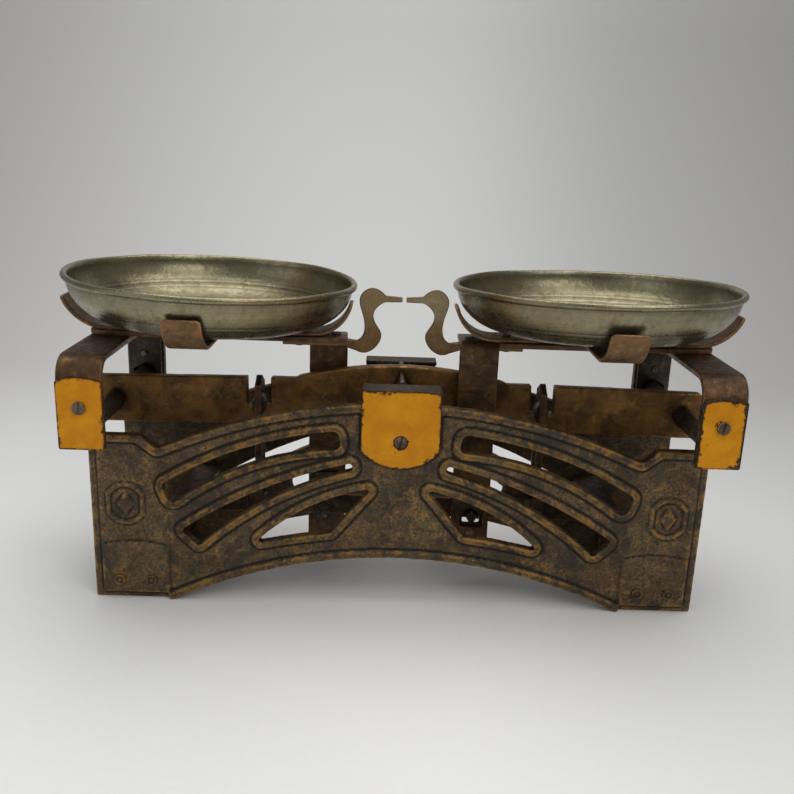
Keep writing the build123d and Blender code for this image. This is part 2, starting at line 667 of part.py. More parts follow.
def carrier_bar():
    """Flat bar under the pan, with the leg that is bent down from its front edge."""
    length = BEAM_ARM + BAR_OVERHANG - BAR_INNER_END
    with BuildPart() as bar:
        with BuildSketch(Plane.XY.offset(BAR_BASE)) as flat:
            with Locations((BAR_INNER_END, 0)):
                Rectangle(length, BAR_WIDTH, align=(Align.MIN, Align.CENTER))
            outer = flat.vertices().group_by(Axis.X)[-1]
            fillet(outer, radius=BAR_WIDTH * 0.4)
            with Locations((BAR_INNER_END, -LEG_OUTER)):
                Rectangle(LEG_WIDTH, LEG_BEND, align=(Align.MIN, Align.MIN), mode=Mode.SUBTRACT)
        extrude(amount=BAR_THICKNESS)
        with BuildSketch(Plane.YZ.offset(BAR_INNER_END)):
            with BuildLine() as bend:
                FilletPolyline((0, BAR_TOP), (-LEG_OUTER, BAR_TOP),
                               (-LEG_OUTER, LEG_BOTTOM), radius=LEG_BEND)
                offset(bend.line, amount=BAR_THICKNESS, side=Side.LEFT)
            make_face()
        extrude(amount=LEG_WIDTH)
        with BuildSketch(facing_front(0)):
            with Locations((LEVER_LEG_X, LEVER_LINE + LEG_WINDOW_TOP)):
                Rectangle(LEG_WINDOW, LEG_WINDOW_HEIGHT, align=(Align.CENTER, Align.MAX))
            with Locations(*leg_rivet_points()):
                Circle(RIVET_RADIUS + RIVET_GAP)
        extrude(amount=2 * LEG_OUTER, mode=Mode.SUBTRACT)
        add(drill(STRAP_RIVETS + ARM_RIVETS + POINTER_RIVETS), mode=Mode.SUBTRACT)
    return bar.part


def leg_rivet_points():
    reach = LEG_SEAT_HEIGHT / 2 - RIVET_MARGIN
    middle = LEVER_LINE - LEG_SEAT_OFFSET
    return [(LEVER_LEG_X, middle - reach), (LEVER_LEG_X, middle + reach)]


def leg_bearing():
    """Seat plate inside the leg; it stands on the lever's leg knife."""
    half = LEG_SEAT_MOUTH / 2
    with BuildPart() as seat:
        with BuildSketch(facing_front(LEG_INNER - LEG_SEAT_THICKNESS)):
            with Locations((LEVER_LEG_X, LEVER_LINE - LEG_SEAT_OFFSET)):
                Rectangle(LEG_SEAT_WIDTH, LEG_SEAT_HEIGHT)
            with BuildLine():
                Polyline((LEVER_LEG_X - half, LEVER_LINE - LEG_SEAT_DROP),
                         (LEVER_LEG_X + half, LEVER_LINE - LEG_SEAT_DROP),
                         (LEVER_LEG_X + half, LEVER_LINE - SEAT_SHOULDER),
                         (LEVER_LEG_X, LEVER_LINE + BEARING_GAP),
                         (LEVER_LEG_X - half, LEVER_LINE - SEAT_SHOULDER), close=True)
            make_face(mode=Mode.SUBTRACT)
            with Locations(*leg_rivet_points()):
                Circle(RIVET_RADIUS + RIVET_GAP, mode=Mode.SUBTRACT)
        extrude(amount=LEG_SEAT_THICKNESS)
    return seat.part


def leg_rivet(x, z):
    with BuildPart() as stud:
        with BuildSketch(facing_front(LEG_INNER - LEG_SEAT_THICKNESS)):
            with Locations((x, z)):
                Circle(RIVET_RADIUS)
        extrude(amount=LEG_SEAT_THICKNESS + BAR_THICKNESS)
        with BuildSketch(facing_front(LEG_OUTER)):
            with Locations((x, z)):
                Circle(RIVET_HEAD_RADIUS)
        extrude(amount=RIVET_HEAD_HEIGHT)
        rim = stud.edges().filter_by(GeomType.CIRCLE).sort_by(Axis.Y)[0]
        fillet(rim, radius=RIVET_HEAD_HEIGHT * 0.8)
    return stud.part


def end_strap():
    """Stirrup that carries the outer end of the bar down to the end knife."""
    with BuildPart() as strap:
        with BuildSketch(Plane.YZ.offset(BEAM_ARM - STRAP_WIDTH / 2)):
            with BuildLine() as path:
                FilletPolyline((-STRAP_OUTER, STRAP_BOTTOM), (-STRAP_OUTER, BAR_BASE),
                               (STRAP_OUTER, BAR_BASE), (STRAP_OUTER, STRAP_BOTTOM),
                               radius=STRAP_BEND)
                offset(path.line, amount=STRAP_THICKNESS, side=Side.RIGHT)
            make_face()
        extrude(amount=STRAP_WIDTH)
        with BuildSketch(facing_front(-STRAP_OUTER)):
            with Locations((BEAM_ARM, STRAP_NOTCH_TOP)):
                Rectangle(STRAP_NOTCH, 2 * (STRAP_NOTCH_TOP - STRAP_BOTTOM),
                          align=(Align.CENTER, Align.MAX))
            with Locations((BEAM_ARM, COVER_SCREW_HEIGHT)):
                Circle(SCREW_RADIUS + RIVET_GAP)
        extrude(amount=2 * STRAP_OUTER, mode=Mode.SUBTRACT)
        add(drill(STRAP_RIVETS), mode=Mode.SUBTRACT)
    return strap.part


def strap_bearing():
    """Seat plate inside the front leg of the stirrup."""
    half = STRAP_SEAT_MOUTH / 2
    outer = STRAP_SEAT_WIDTH / 2
    with BuildPart() as seat:
        with BuildSketch(facing_front(STRAP_INNER - STRAP_SEAT_THICKNESS)):
            with BuildLine():
                Polyline((BEAM_ARM - outer, STRAP_SEAT_BOTTOM), (BEAM_ARM - outer, STRAP_SEAT_TOP),
                         (BEAM_ARM + outer, STRAP_SEAT_TOP), (BEAM_ARM + outer, STRAP_SEAT_BOTTOM),
                         (BEAM_ARM + half, STRAP_SEAT_BOTTOM), (BEAM_ARM + half, KNIFE_LINE - 4),
                         (BEAM_ARM, KNIFE_LINE + BEARING_GAP), (BEAM_ARM - half, KNIFE_LINE - 4),
                         (BEAM_ARM - half, STRAP_SEAT_BOTTOM), close=True)
            make_face()
            with Locations((BEAM_ARM, COVER_SCREW_HEIGHT)):
                Circle(SCREW_RADIUS + RIVET_GAP, mode=Mode.SUBTRACT)
        extrude(amount=STRAP_SEAT_THICKNESS)
    return seat.part


def end_cover():
    half = STRAP_WIDTH / 2
    with BuildPart() as cover:
        with BuildSketch(facing_front(STRAP_OUTER)) as face:
            with BuildLine():
                Polyline((BEAM_ARM - half, COVER_TOP), (BEAM_ARM - half, STRAP_BOTTOM),
                         (BEAM_ARM + half, STRAP_BOTTOM), (BEAM_ARM + half, COVER_TOP))
                ThreePointArc((BEAM_ARM - half, COVER_TOP), (BEAM_ARM, COVER_TOP + COVER_ARCH),
                              (BEAM_ARM + half, COVER_TOP))
            make_face()
            fillet(face.vertices(), radius=1)
            with Locations((BEAM_ARM, COVER_SCREW_HEIGHT)):
                Circle(SCREW_RADIUS + RIVET_GAP, mode=Mode.SUBTRACT)
        extrude(amount=COVER_THICKNESS)
    return cover.part


def cover_screw():
    seat = STRAP_OUTER + COVER_THICKNESS
    length = COVER_THICKNESS + STRAP_THICKNESS + STRAP_SEAT_THICKNESS + 1
    return slotted_screw(BEAM_ARM, COVER_SCREW_HEIGHT, seat, length, 80)


def pan_arm(reach_low, reach_high, top, plane, centre):
    """Strap under the pan, curved up at both ends; centre is its middle along the sketch plane's x."""
    low = top - ARM_THICKNESS
    tip = low + ARM_TIP_RISE
    with BuildPart() as arm:
        with BuildSketch(plane.offset(-ARM_WIDTH / 2)):
            with BuildLine() as path:
                flat = Line((centre - ARM_FLAT, low), (centre + ARM_FLAT, low))
                TangentArc(flat @ 1, (centre + reach_high, tip), tangent=flat % 1)
                TangentArc(flat @ 0, (centre - reach_low, tip), tangent=-(flat % 0))
                offset(path.line, amount=ARM_THICKNESS, side=Side.LEFT)
            make_face()
        extrude(amount=ARM_WIDTH)
    return arm.part


def rounded_tips(arm, top, plane, centre):
    """Trim the two upturned tips level and round their corners."""
    with BuildPart() as rounded:
        add(arm)
        with BuildSketch(plane.offset(-2 * PAN_RADIUS)) as mask:
            with Locations((centre, 0)):
                Rectangle(ARM_WIDTH, top - ARM_THICKNESS + ARM_TIP_RISE,
                          align=(Align.CENTER, Align.MIN))
            fillet(mask.vertices().group_by(Axis.Y)[-1], radius=ARM_CORNER)
        extrude(amount=4 * PAN_RADIUS, mode=Mode.INTERSECT)
    return rounded.part


def long_arm():
    """Arm along the bar; its outer end reaches further than its inner end."""
    arm = pan_arm(ARM_REACH, ARM_OUTER_REACH, LONG_ARM_TOP, Plane.XZ, PAN_X)
    rounded = rounded_tips(arm, LONG_ARM_TOP, Plane.YZ.offset(PAN_X), 0)
    with BuildPart() as drilled:
        add(rounded)
        add(drill(STRAP_RIVETS + ARM_RIVETS + POINTER_RIVETS[1:]), mode=Mode.SUBTRACT)
    return drilled.part


def cross_arm():
    arm = pan_arm(ARM_REACH, ARM_REACH, CROSS_ARM_TOP, Plane.YZ.offset(PAN_X), 0)
    rounded = rounded_tips(arm, CROSS_ARM_TOP, Plane.XZ, PAN_X)
    with BuildPart() as drilled:
        add(rounded)
        add(drill(ARM_RIVETS), mode=Mode.SUBTRACT)
    return drilled.part


def carrier_rivets():
    tang_base = BAR_BASE - POINTER_THICKNESS
    stacks = [(STRAP_RIVETS, BAR_BASE - STRAP_THICKNESS, LONG_ARM_TOP, False),
              (ARM_RIVETS, BAR_BASE, CROSS_ARM_TOP, True),
              (POINTER_RIVETS[:1], tang_base, BAR_TOP, False),
              (POINTER_RIVETS[1:], tang_base, LONG_ARM_TOP, False)]
    studs = [rivet(x, y, low, high, flush) for points, low, high, flush in stacks
             for x, y in points]
    studs += [leg_rivet(x, z) for x, z in leg_rivet_points()]
    return Compound(children=studs)


def bird_points(start, outline):
    return [(start + along, BAR_BASE + up) for along, up in outline]


def pointer():
    """Flat bird silhouette whose tang is twisted flat and riveted under the bar."""
    start = POINTER_GAP / 2
    neck = BAR_INNER_END - NECK_REACH
    middle = BAR_BASE - POINTER_THICKNESS / 2 - NECK_DROP
    top = middle + NECK_HEIGHT / 2
    low = middle - NECK_HEIGHT / 2
    with BuildPart() as bird:
        with BuildSketch(facing_front(-POINTER_THICKNESS / 2)):
            with BuildLine():
                bill = Line((start, BAR_BASE + BILL_TIP[1]), (start + BILL_LENGTH, BAR_BASE + BILL_ROOT[1]))
                back = Spline(bill @ 1, *bird_points(start, BIRD_BACK), (neck, top))
                end = Line(back @ 1, (neck, low))
                breast = Spline(end @ 1, *bird_points(start, BIRD_BREAST),
                                (start + BILL_LENGTH, BAR_BASE + BILL_ROOT[0]))
                Polyline(breast @ 1, (start, BAR_BASE + BILL_TIP[0]), bill @ 0)
            make_face()
        extrude(amount=POINTER_THICKNESS)
        with BuildSketch(Plane.YZ.offset(neck)):
            with Locations((0, middle)):
                Rectangle(POINTER_THICKNESS, NECK_HEIGHT)
        with BuildSketch(Plane.YZ.offset(neck + TWIST_LENGTH)):
            with Locations((0, BAR_BASE)):
                Rectangle(TANG_WIDTH, POINTER_THICKNESS, align=(Align.CENTER, Align.MAX))
        loft()
        with BuildSketch(Plane.XY.offset(BAR_BASE - POINTER_THICKNESS)):
            with Locations((neck + TWIST_LENGTH, 0)):
                Rectangle(TANG_LENGTH, TANG_WIDTH, align=(Align.MIN, Align.CENTER))
        extrude(amount=POINTER_THICKNESS)
        add(drill(POINTER_RIVETS), mode=Mode.SUBTRACT)
    return bird.part


def pan():
    """Shallow dished pan with a rolled bead rim."""
    bead_centre = (PAN_RADIUS - RIM_BEAD, PAN_BASE + PAN_DEPTH - RIM_BEAD)
    wall_top = (bead_centre[0] - LIP_INSET, bead_centre[1])
    bulge = (PAN_RADIUS - WALL_BULGE[0], PAN_BASE + WALL_BULGE[1])
    with BuildPart() as dish:
        with BuildSketch(Plane((PAN_X, 0, 0), x_dir=(1, 0, 0), z_dir=(0, -1, 0))):
            with BuildLine() as outside:
                floor = Line((0, PAN_BASE), (PAN_FLOOR_RADIUS, PAN_BASE))
                wall = ThreePointArc(floor @ 1, bulge, wall_top)
                offset(outside.line, amount=PAN_WALL, side=Side.LEFT)
            make_face()
            with Locations(bead_centre):
                Circle(RIM_BEAD)
        revolve(axis=Axis((PAN_X, 0, 0), (0, 0, 1)))
    return dish.part


def leaning(level_pan, x, lean):
    """The pan as it rests on its bent arms, not quite level."""
    about_x, about_y, lift = lean
    turned = level_pan.rotate(Axis((x, 0, PAN_BASE), (1, 0, 0)), about_x)
    return Pos(0, 0, lift) * turned.rotate(Axis((x, 0, PAN_BASE), (0, 1, 0)), about_y)


def both_ways(piece):
    """The piece and its copy turned half round about the vertical axis."""
    return (piece, piece.rotate(Axis.Z, 180))


def rear_copy(piece):
    """Copy of a piece on the stirrup's front leg, turned onto its rear leg."""
    return piece.rotate(Axis((BEAM_ARM, 0, 0), (0, 0, 1)), 180)


def write(name, piece):
    piece.label = name
    export_step(piece, f"parts/{name}.step")


def write_sides(name, piece):
    right, left = both_ways(piece)
    write(f"right_{name}", right)
    write(f"left_{name}", left)


def write_frame():
    pairs = {"frame": casting(), "centre_bearing": centre_bearing(), "bearing_cap": bearing_cap()}
    for name, piece in pairs.items():
        front, back = both_ways(piece)
        write(f"front_{name}", front)
        write(f"back_{name}", back)
    write_sides("end_tie", end_tie())
    write_sides("fulcrum_bridge", fulcrum_bridge())
    cap_screw = slotted_screw(0, CAP_SCREW_HEIGHT, OUTER_FACE + CAP_THICKNESS - SCREW_HEAD_HEIGHT,
                              CAP_THICKNESS - SCREW_HEAD_HEIGHT + CASTING_EDGE, 75)
    write("cap_screws", Compound(children=list(both_ways(cap_screw))))
    screws = []
    for number, (x, z) in enumerate(tie_screw_points()):
        length = CASTING_EDGE - RIM_HEIGHT + BEAD_HEIGHT + TIE_THICKNESS
        screw = slotted_screw(x, z, PANEL_FACE + BEAD_HEIGHT, length, 20 + 65 * number)
        screws.extend(both_ways(screw))
    write("tie_screws", Compound(children=screws))


def write_mechanism():
    write("main_beam", main_beam())
    write("centre_knife", centre_knife())
    write_sides("end_knife", end_knife())
    write_sides("link_knife", link_knife())
    write_sides("aux_lever", aux_lever())
    write_sides("fulcrum_knife", fulcrum_knife())
    write_sides("lever_link_knife", lever_link_knife())
    write_sides("leg_knife", leg_knife())
    write_sides("link", link())


def write_carriers():
    write_sides("carrier_bar", carrier_bar())
    write_sides("end_strap", end_strap())
    write_sides("leg_bearing", leg_bearing())
    write_sides("long_arm", long_arm())
    write_sides("cross_arm", cross_arm())
    write_sides("carrier_rivets", carrier_rivets())
    write_sides("pointer", pointer())
    seat = strap_bearing()
    screw = cover_screw()
    write_sides("strap_bearings", Compound(children=[seat, rear_copy(seat)]))
    write_sides("cover_screws", Compound(children=[screw, rear_copy(screw)]))
    cover = end_cover()
    write("right_front_cover", cover)
    write("right_back_cover", rear_copy(cover))
    write("left_back_cover", cover.rotate(Axis.Z, 180))
    write("left_front_cover", rear_copy(cover).rotate(Axis.Z, 180))
    right_pan, left_pan = both_ways(pan())
    write("right_pan", leaning(right_pan, PAN_X, RIGHT_PAN_LEAN))
    write("left_pan", leaning(left_pan, -PAN_X, LEFT_PAN_LEAN))


os.makedirs("parts", exist_ok=True)
write_frame()
write_mechanism()
write_carriers()
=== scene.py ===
import json
import math

import bmesh
import bpy
import numpy as np
from mathutils import Matrix, Vector


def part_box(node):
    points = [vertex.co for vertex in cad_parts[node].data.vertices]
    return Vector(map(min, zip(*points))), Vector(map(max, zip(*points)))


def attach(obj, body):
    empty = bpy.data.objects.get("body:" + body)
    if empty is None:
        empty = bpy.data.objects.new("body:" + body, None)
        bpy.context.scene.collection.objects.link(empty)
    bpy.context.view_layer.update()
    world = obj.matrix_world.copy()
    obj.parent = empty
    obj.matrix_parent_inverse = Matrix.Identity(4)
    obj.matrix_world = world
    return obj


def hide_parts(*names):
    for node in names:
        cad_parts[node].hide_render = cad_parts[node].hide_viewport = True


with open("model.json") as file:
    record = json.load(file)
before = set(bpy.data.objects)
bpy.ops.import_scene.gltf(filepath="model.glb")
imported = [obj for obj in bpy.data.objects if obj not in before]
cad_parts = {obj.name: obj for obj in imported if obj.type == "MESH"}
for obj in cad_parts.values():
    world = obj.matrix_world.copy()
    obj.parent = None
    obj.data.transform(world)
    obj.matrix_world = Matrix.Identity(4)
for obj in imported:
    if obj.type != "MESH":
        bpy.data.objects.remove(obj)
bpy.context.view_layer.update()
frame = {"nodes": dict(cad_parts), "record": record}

# Equal arm balance scale. Metres, in the frame's axes: X along the beam, Y to the back, Z up.
nodes = frame["nodes"]

MM = 0.001
SIDES = (("left", -1), ("right", 1))

# Voxel sizes of the weathered copies, and how far their edges are rounded
CASTING_VOXEL = 0.78 * MM
PLATE_VOXEL = 0.5 * MM
SMALL_VOXEL = 0.3 * MM
HIDDEN_VOXEL = 0.8 * MM
BEAM_VOXEL = 0.6 * MM
COVER_VOXEL = 0.34 * MM
KNIFE_VOXEL = 0.45 * MM
SCREW_VOXEL = 0.22 * MM


# ---------------------------------------------------------------- shader nodes

class Finish:
    """One node material. Its methods add nodes and give back an output socket."""

    def __init__(self, name):
        self.material = bpy.data.materials.new(name)
        self.material.use_nodes = True
        self.tree = self.material.node_tree
        self.tree.nodes.clear()
        self.place = self.add("ShaderNodeTexCoord").outputs["Object"]

    def add(self, kind, inputs=None, **settings):
        node = self.tree.nodes.new(kind)
        for name, value in settings.items():
            setattr(node, name, value)
        for name, value in (inputs or {}).items():
            if isinstance(value, bpy.types.NodeSocket):
                self.tree.links.new(value, node.inputs[name])
            else:
                node.inputs[name].default_value = value
        return node

    def stretched(self, stretch):
        return self.add("ShaderNodeVectorMath", {0: self.place, 1: stretch},
                        operation="MULTIPLY").outputs[0]

    def noise(self, size, detail=4.0, rough=0.6, warp=0.0, stretch=None, seed=0.0):
        """Clouds about `size` metres across."""
        place = self.stretched(stretch) if stretch else self.place
        return self.add("ShaderNodeTexNoise",
                        {"Vector": place, "W": seed, "Scale": 1 / size, "Detail": detail,
                         "Roughness": rough, "Distortion": warp},
                        noise_dimensions="4D").outputs["Fac"]

    def cells(self, size, seed=0.0):
        """Distance to the nearest of some scattered points about `size` metres apart."""
        return self.add("ShaderNodeTexVoronoi",
                        {"Vector": self.place, "W": seed, "Scale": 1 / size, "Randomness": 1.0},
                        voronoi_dimensions="4D").outputs["Distance"]

    def attribute(self, name):
        return self.add("ShaderNodeAttribute", attribute_name=name).outputs["Fac"]

    def sums(self, operation, *values):
        inputs = dict(enumerate(values))
        return self.add("ShaderNodeMath", inputs, operation=operation).outputs[0]

    def step(self, value, start, end, low=0.0, high=1.0):
        """Turns smoothly from low to high while the value goes from start to end."""
        return self.add("ShaderNodeMapRange",
                        {"Value": value, "From Min": start, "From Max": end,
                         "To Min": low, "To Max": high},
                        interpolation_type="SMOOTHSTEP").outputs[0]

    def mix(self, share, first, second):
        """Mixes two colours or colour sockets."""
        node = self.add("ShaderNodeMix", data_type="RGBA")
        for socket, value in ((node.inputs[0], share), (node.inputs[6], first),
                              (node.inputs[7], second)):
            if isinstance(value, bpy.types.NodeSocket):
                self.tree.links.new(value, socket)
            else:
                socket.default_value = value
        return node.outputs[2]

    def blur(self, share, first, second):
        """Mixes two numbers or number sockets."""
        node = self.add("ShaderNodeMix", data_type="FLOAT")
        for socket, value in ((node.inputs[0], share), (node.inputs[2], first),
                              (node.inputs[3], second)):
            if isinstance(value, bpy.types.NodeSocket):
                self.tree.links.new(value, socket)
            else:
                socket.default_value = value
        return node.outputs[0]

    def bump(self, height, depth, normal=None, strength=1.0):
        inputs = {"Height": height, "Distance": depth, "Strength": strength}
        if normal:
            inputs["Normal"] = normal
        return self.add("ShaderNodeBump", inputs).outputs[0]

    def close(self, colour, metallic, roughness, normal, **constants):
        inputs = {"Base Color": colour, "Metallic": metallic, "Roughness": roughness,
                  "Normal": normal}
        shader = self.add("ShaderNodeBsdfPrincipled", inputs)
        for name, value in constants.items():
            shader.inputs[name.replace("_", " ")].default_value = value
        out = self.add("ShaderNodeOutputMaterial")
        self.tree.links.new(shader.outputs[0], out.inputs["Surface"])
        return self.material


def rgb(red, green, blue):
    """A colour as the screen shows it, 0 to 255, turned into the linear one that nodes take."""
    linear = [(v / 255 / 12.92) if v / 255 <= 0.04045 else ((v / 255 + 0.055) / 1.055) ** 2.4
              for v in (red, green, blue)]
    return (*linear, 1.0)


# ---------------------------------------------------------------- materials

def cast_bronze(name, dark, mid, gold, rust, seed):
    """Old bronze paint over rough cast iron: gold on the ridges from rubbed wear and a painted
    highlight, near black painted shade in the crevices.
    """
    f = Finish(name)
    edge = f.attribute("edge")
    cavity = f.attribute("cavity")
    clouds = f.noise(26 * MM, 5, 0.62, 0.6, seed=seed)
    patches = f.noise(9 * MM, 5, 0.7, 0.8, seed=seed + 3)
    grain = f.noise(1.3 * MM, 3, 0.75, seed=seed + 5)
    fine = f.noise(0.5 * MM, 2, 0.8, seed=seed + 7)
    pits = f.cells(2.3 * MM, seed=seed + 9)
    colour = f.mix(f.step(clouds, 0.38, 0.62), dark, mid)
    colour = f.mix(f.step(patches, 0.46, 0.68, 0, 0.75), colour, gold)
    stain = f.step(f.noise(15 * MM, 4, 0.65, 1.0, seed=seed + 11), 0.50, 0.68, 0, 0.75)
    colour = f.mix(stain, colour, rust)
    sooty = f.noise(7 * MM, 5, 0.75, 1.0, seed=seed + 13)
    colour = f.mix(f.step(sooty, 0.50, 0.68, 0, 0.75), colour, dark)
    colour = f.mix(f.step(grain, 0.40, 0.58, 0.75, 0.0), colour, dark)
    colour = f.mix(f.step(fine, 0.60, 0.74, 0.0, 0.45), colour, gold)
    # gold on the convex ridges: rubbed wear, and a painted highlight
    rubbed_and_highlit = f.sums("MULTIPLY", edge, f.step(patches, 0.36, 0.62, 0.0, 1.0))
    colour = f.mix(f.step(rubbed_and_highlit, 0.12, 0.75, 0.0, 0.7), colour, gold)
    # near black: painted shade in the crevices, and also the colour of the dark pits below
    shade_and_pit_black = (0.008, 0.006, 0.004, 1.0)
    colour = f.mix(f.step(cavity, 0.10, 0.60, 0.0, 0.92), colour, shade_and_pit_black)
    specks = f.step(pits, 0.10, 0.20, 1.0, 0.0)
    shown = f.sums("MULTIPLY", specks, f.step(patches, 0.40, 0.55))
    colour = f.mix(f.sums("MULTIPLY", shown, 0.75), colour, shade_and_pit_black)
    rough = f.step(f.sums("ADD", grain, f.sums("MULTIPLY", patches, 0.5)), 0.5, 1.1, 0.62, 0.36)
    rough = f.blur(f.step(cavity, 0.1, 0.6), rough, 0.8)
    metal = f.step(rubbed_and_highlit, 0.1, 0.8, 0.30, 0.65)
    height = f.sums("ADD", f.sums("MULTIPLY", grain, 0.7), f.sums("MULTIPLY", fine, 0.3))
    normal = f.bump(height, 0.30 * MM)
    normal = f.bump(patches, 0.9 * MM, normal)
    normal = f.bump(f.step(pits, 0.05, 0.22), 0.2 * MM, normal, 0.6)
    return f.close(colour, metal, rough, normal)


def brown_steel(name, dark, mid, light, seed, sheen=0.42):
    """Dark brown patinated steel strip, lighter along its edges from rubbed wear and a painted
    highlight, near black painted shade in its crevices, with long draw marks.
    """
    f = Finish(name)
    edge = f.attribute("edge")
    cavity = f.attribute("cavity")
    clouds = f.noise(17 * MM, 5, 0.65, 0.7, seed=seed)
    patches = f.noise(5 * MM, 5, 0.7, 0.5, seed=seed + 3)
    grain = f.noise(0.8 * MM, 3, 0.8, seed=seed + 5)
    drawn = f.noise(3 * MM, 4, 0.7, stretch=(0.12, 1.0, 1.0), seed=seed + 7)
    colour = f.mix(f.step(clouds, 0.34, 0.66), dark, mid)
    colour = f.mix(f.step(patches, 0.50, 0.74, 0, 0.6), colour, light)
    colour = f.mix(f.step(grain, 0.30, 0.52, 0.55, 0.0), colour, dark)
    colour = f.mix(f.step(drawn, 0.55, 0.75, 0, 0.25), colour, light)
    # lighter along the edges: rubbed wear, and a painted highlight
    rubbed_and_highlit = f.sums("MULTIPLY", edge, f.step(patches, 0.32, 0.6, 0.15, 1.0))
    colour = f.mix(f.step(rubbed_and_highlit, 0.15, 0.8, 0, 0.8), colour, light)
    # painted shade: near black in the crevices
    colour = f.mix(f.step(cavity, 0.12, 0.6, 0.0, 0.85), colour, (0.008, 0.006, 0.004, 1.0))
    rough = f.step(patches, 0.3, 0.7, sheen + 0.14, sheen - 0.06)
    metal = f.step(rubbed_and_highlit, 0.1, 0.8, 0.55, 0.85)
    normal = f.bump(grain, 0.12 * MM)
    normal = f.bump(patches, 0.35 * MM, normal)
    normal = f.bump(drawn, 0.12 * MM, normal)
    return f.close(colour, metal, rough, normal)


def yellow_enamel(name, seed, chipping, steel=(0.030, 0.020, 0.012, 1.0)):
    """Ochre yellow enamel, chipped down to dark steel along the border of the plate."""
    f = Finish(name)
    border = f.attribute("border")
    wear = f.attribute("wear")
    ragged = f.noise(2.6 * MM, 6, 0.72, 0.4, seed=seed)
    bites = f.noise(6.5 * MM, 3, 0.6, 0.6, seed=seed + 2)
    clouds = f.noise(14 * MM, 4, 0.6, 0.5, seed=seed + 4)
    fine = f.noise(0.7 * MM, 3, 0.8, seed=seed + 6)
    pits = f.cells(3.4 * MM, seed=seed + 8)
    # how deep into the plate the chips reach here, in millimetres
    reach = f.sums("MULTIPLY", f.step(ragged, 0.36, 0.70, -0.4, 3.4), f.step(bites, 0.50, 0.62))
    reach = f.sums("ADD", f.sums("MULTIPLY", reach, chipping), f.sums("MULTIPLY", wear, 3.0))
    reach = f.sums("ADD", reach, f.step(ragged, 0.3, 0.7, -0.35, 0.40))
    bare = f.step(f.sums("SUBTRACT", reach, border), -0.04, 0.08)
    dots = f.sums("MULTIPLY", f.step(pits, 0.09, 0.14, 1.0, 0.0), f.step(bites, 0.47, 0.53))
    bare = f.sums("MAXIMUM", bare, dots)
    front = f.attribute("front")
    bare = f.sums("MAXIMUM", bare, f.sums("SUBTRACT", 1.0, front))
    paint = f.mix(f.step(clouds, 0.34, 0.68), rgb(196, 126, 0), rgb(214, 146, 0))
    paint = f.mix(f.step(ragged, 0.52, 0.74, 0, 0.55), paint, rgb(186, 102, 8))
    paint = f.mix(f.step(fine, 0.30, 0.46, 0.40, 0), paint, rgb(142, 86, 12))
    halo = f.step(f.sums("SUBTRACT", reach, border), -0.9, -0.05, 0, 0.55)
    paint = f.mix(halo, paint, rgb(150, 88, 22))
    metal_colour = f.mix(f.step(ragged, 0.45, 0.7), steel, rgb(98, 76, 52))
    colour = f.mix(bare, paint, metal_colour)
    rough = f.blur(bare, f.step(clouds, 0.3, 0.7, 0.36, 0.50), 0.55)
    height = f.sums("ADD", f.sums("SUBTRACT", 1.0, bare), f.sums("MULTIPLY", fine, 0.10))
    normal = f.bump(height, 0.16 * MM)
    normal = f.bump(clouds, 0.5 * MM, normal)
    metal = f.sums("MULTIPLY", bare, 0.5)
    return f.close(colour, metal, rough, normal, Specular_IOR_Level=0.22)


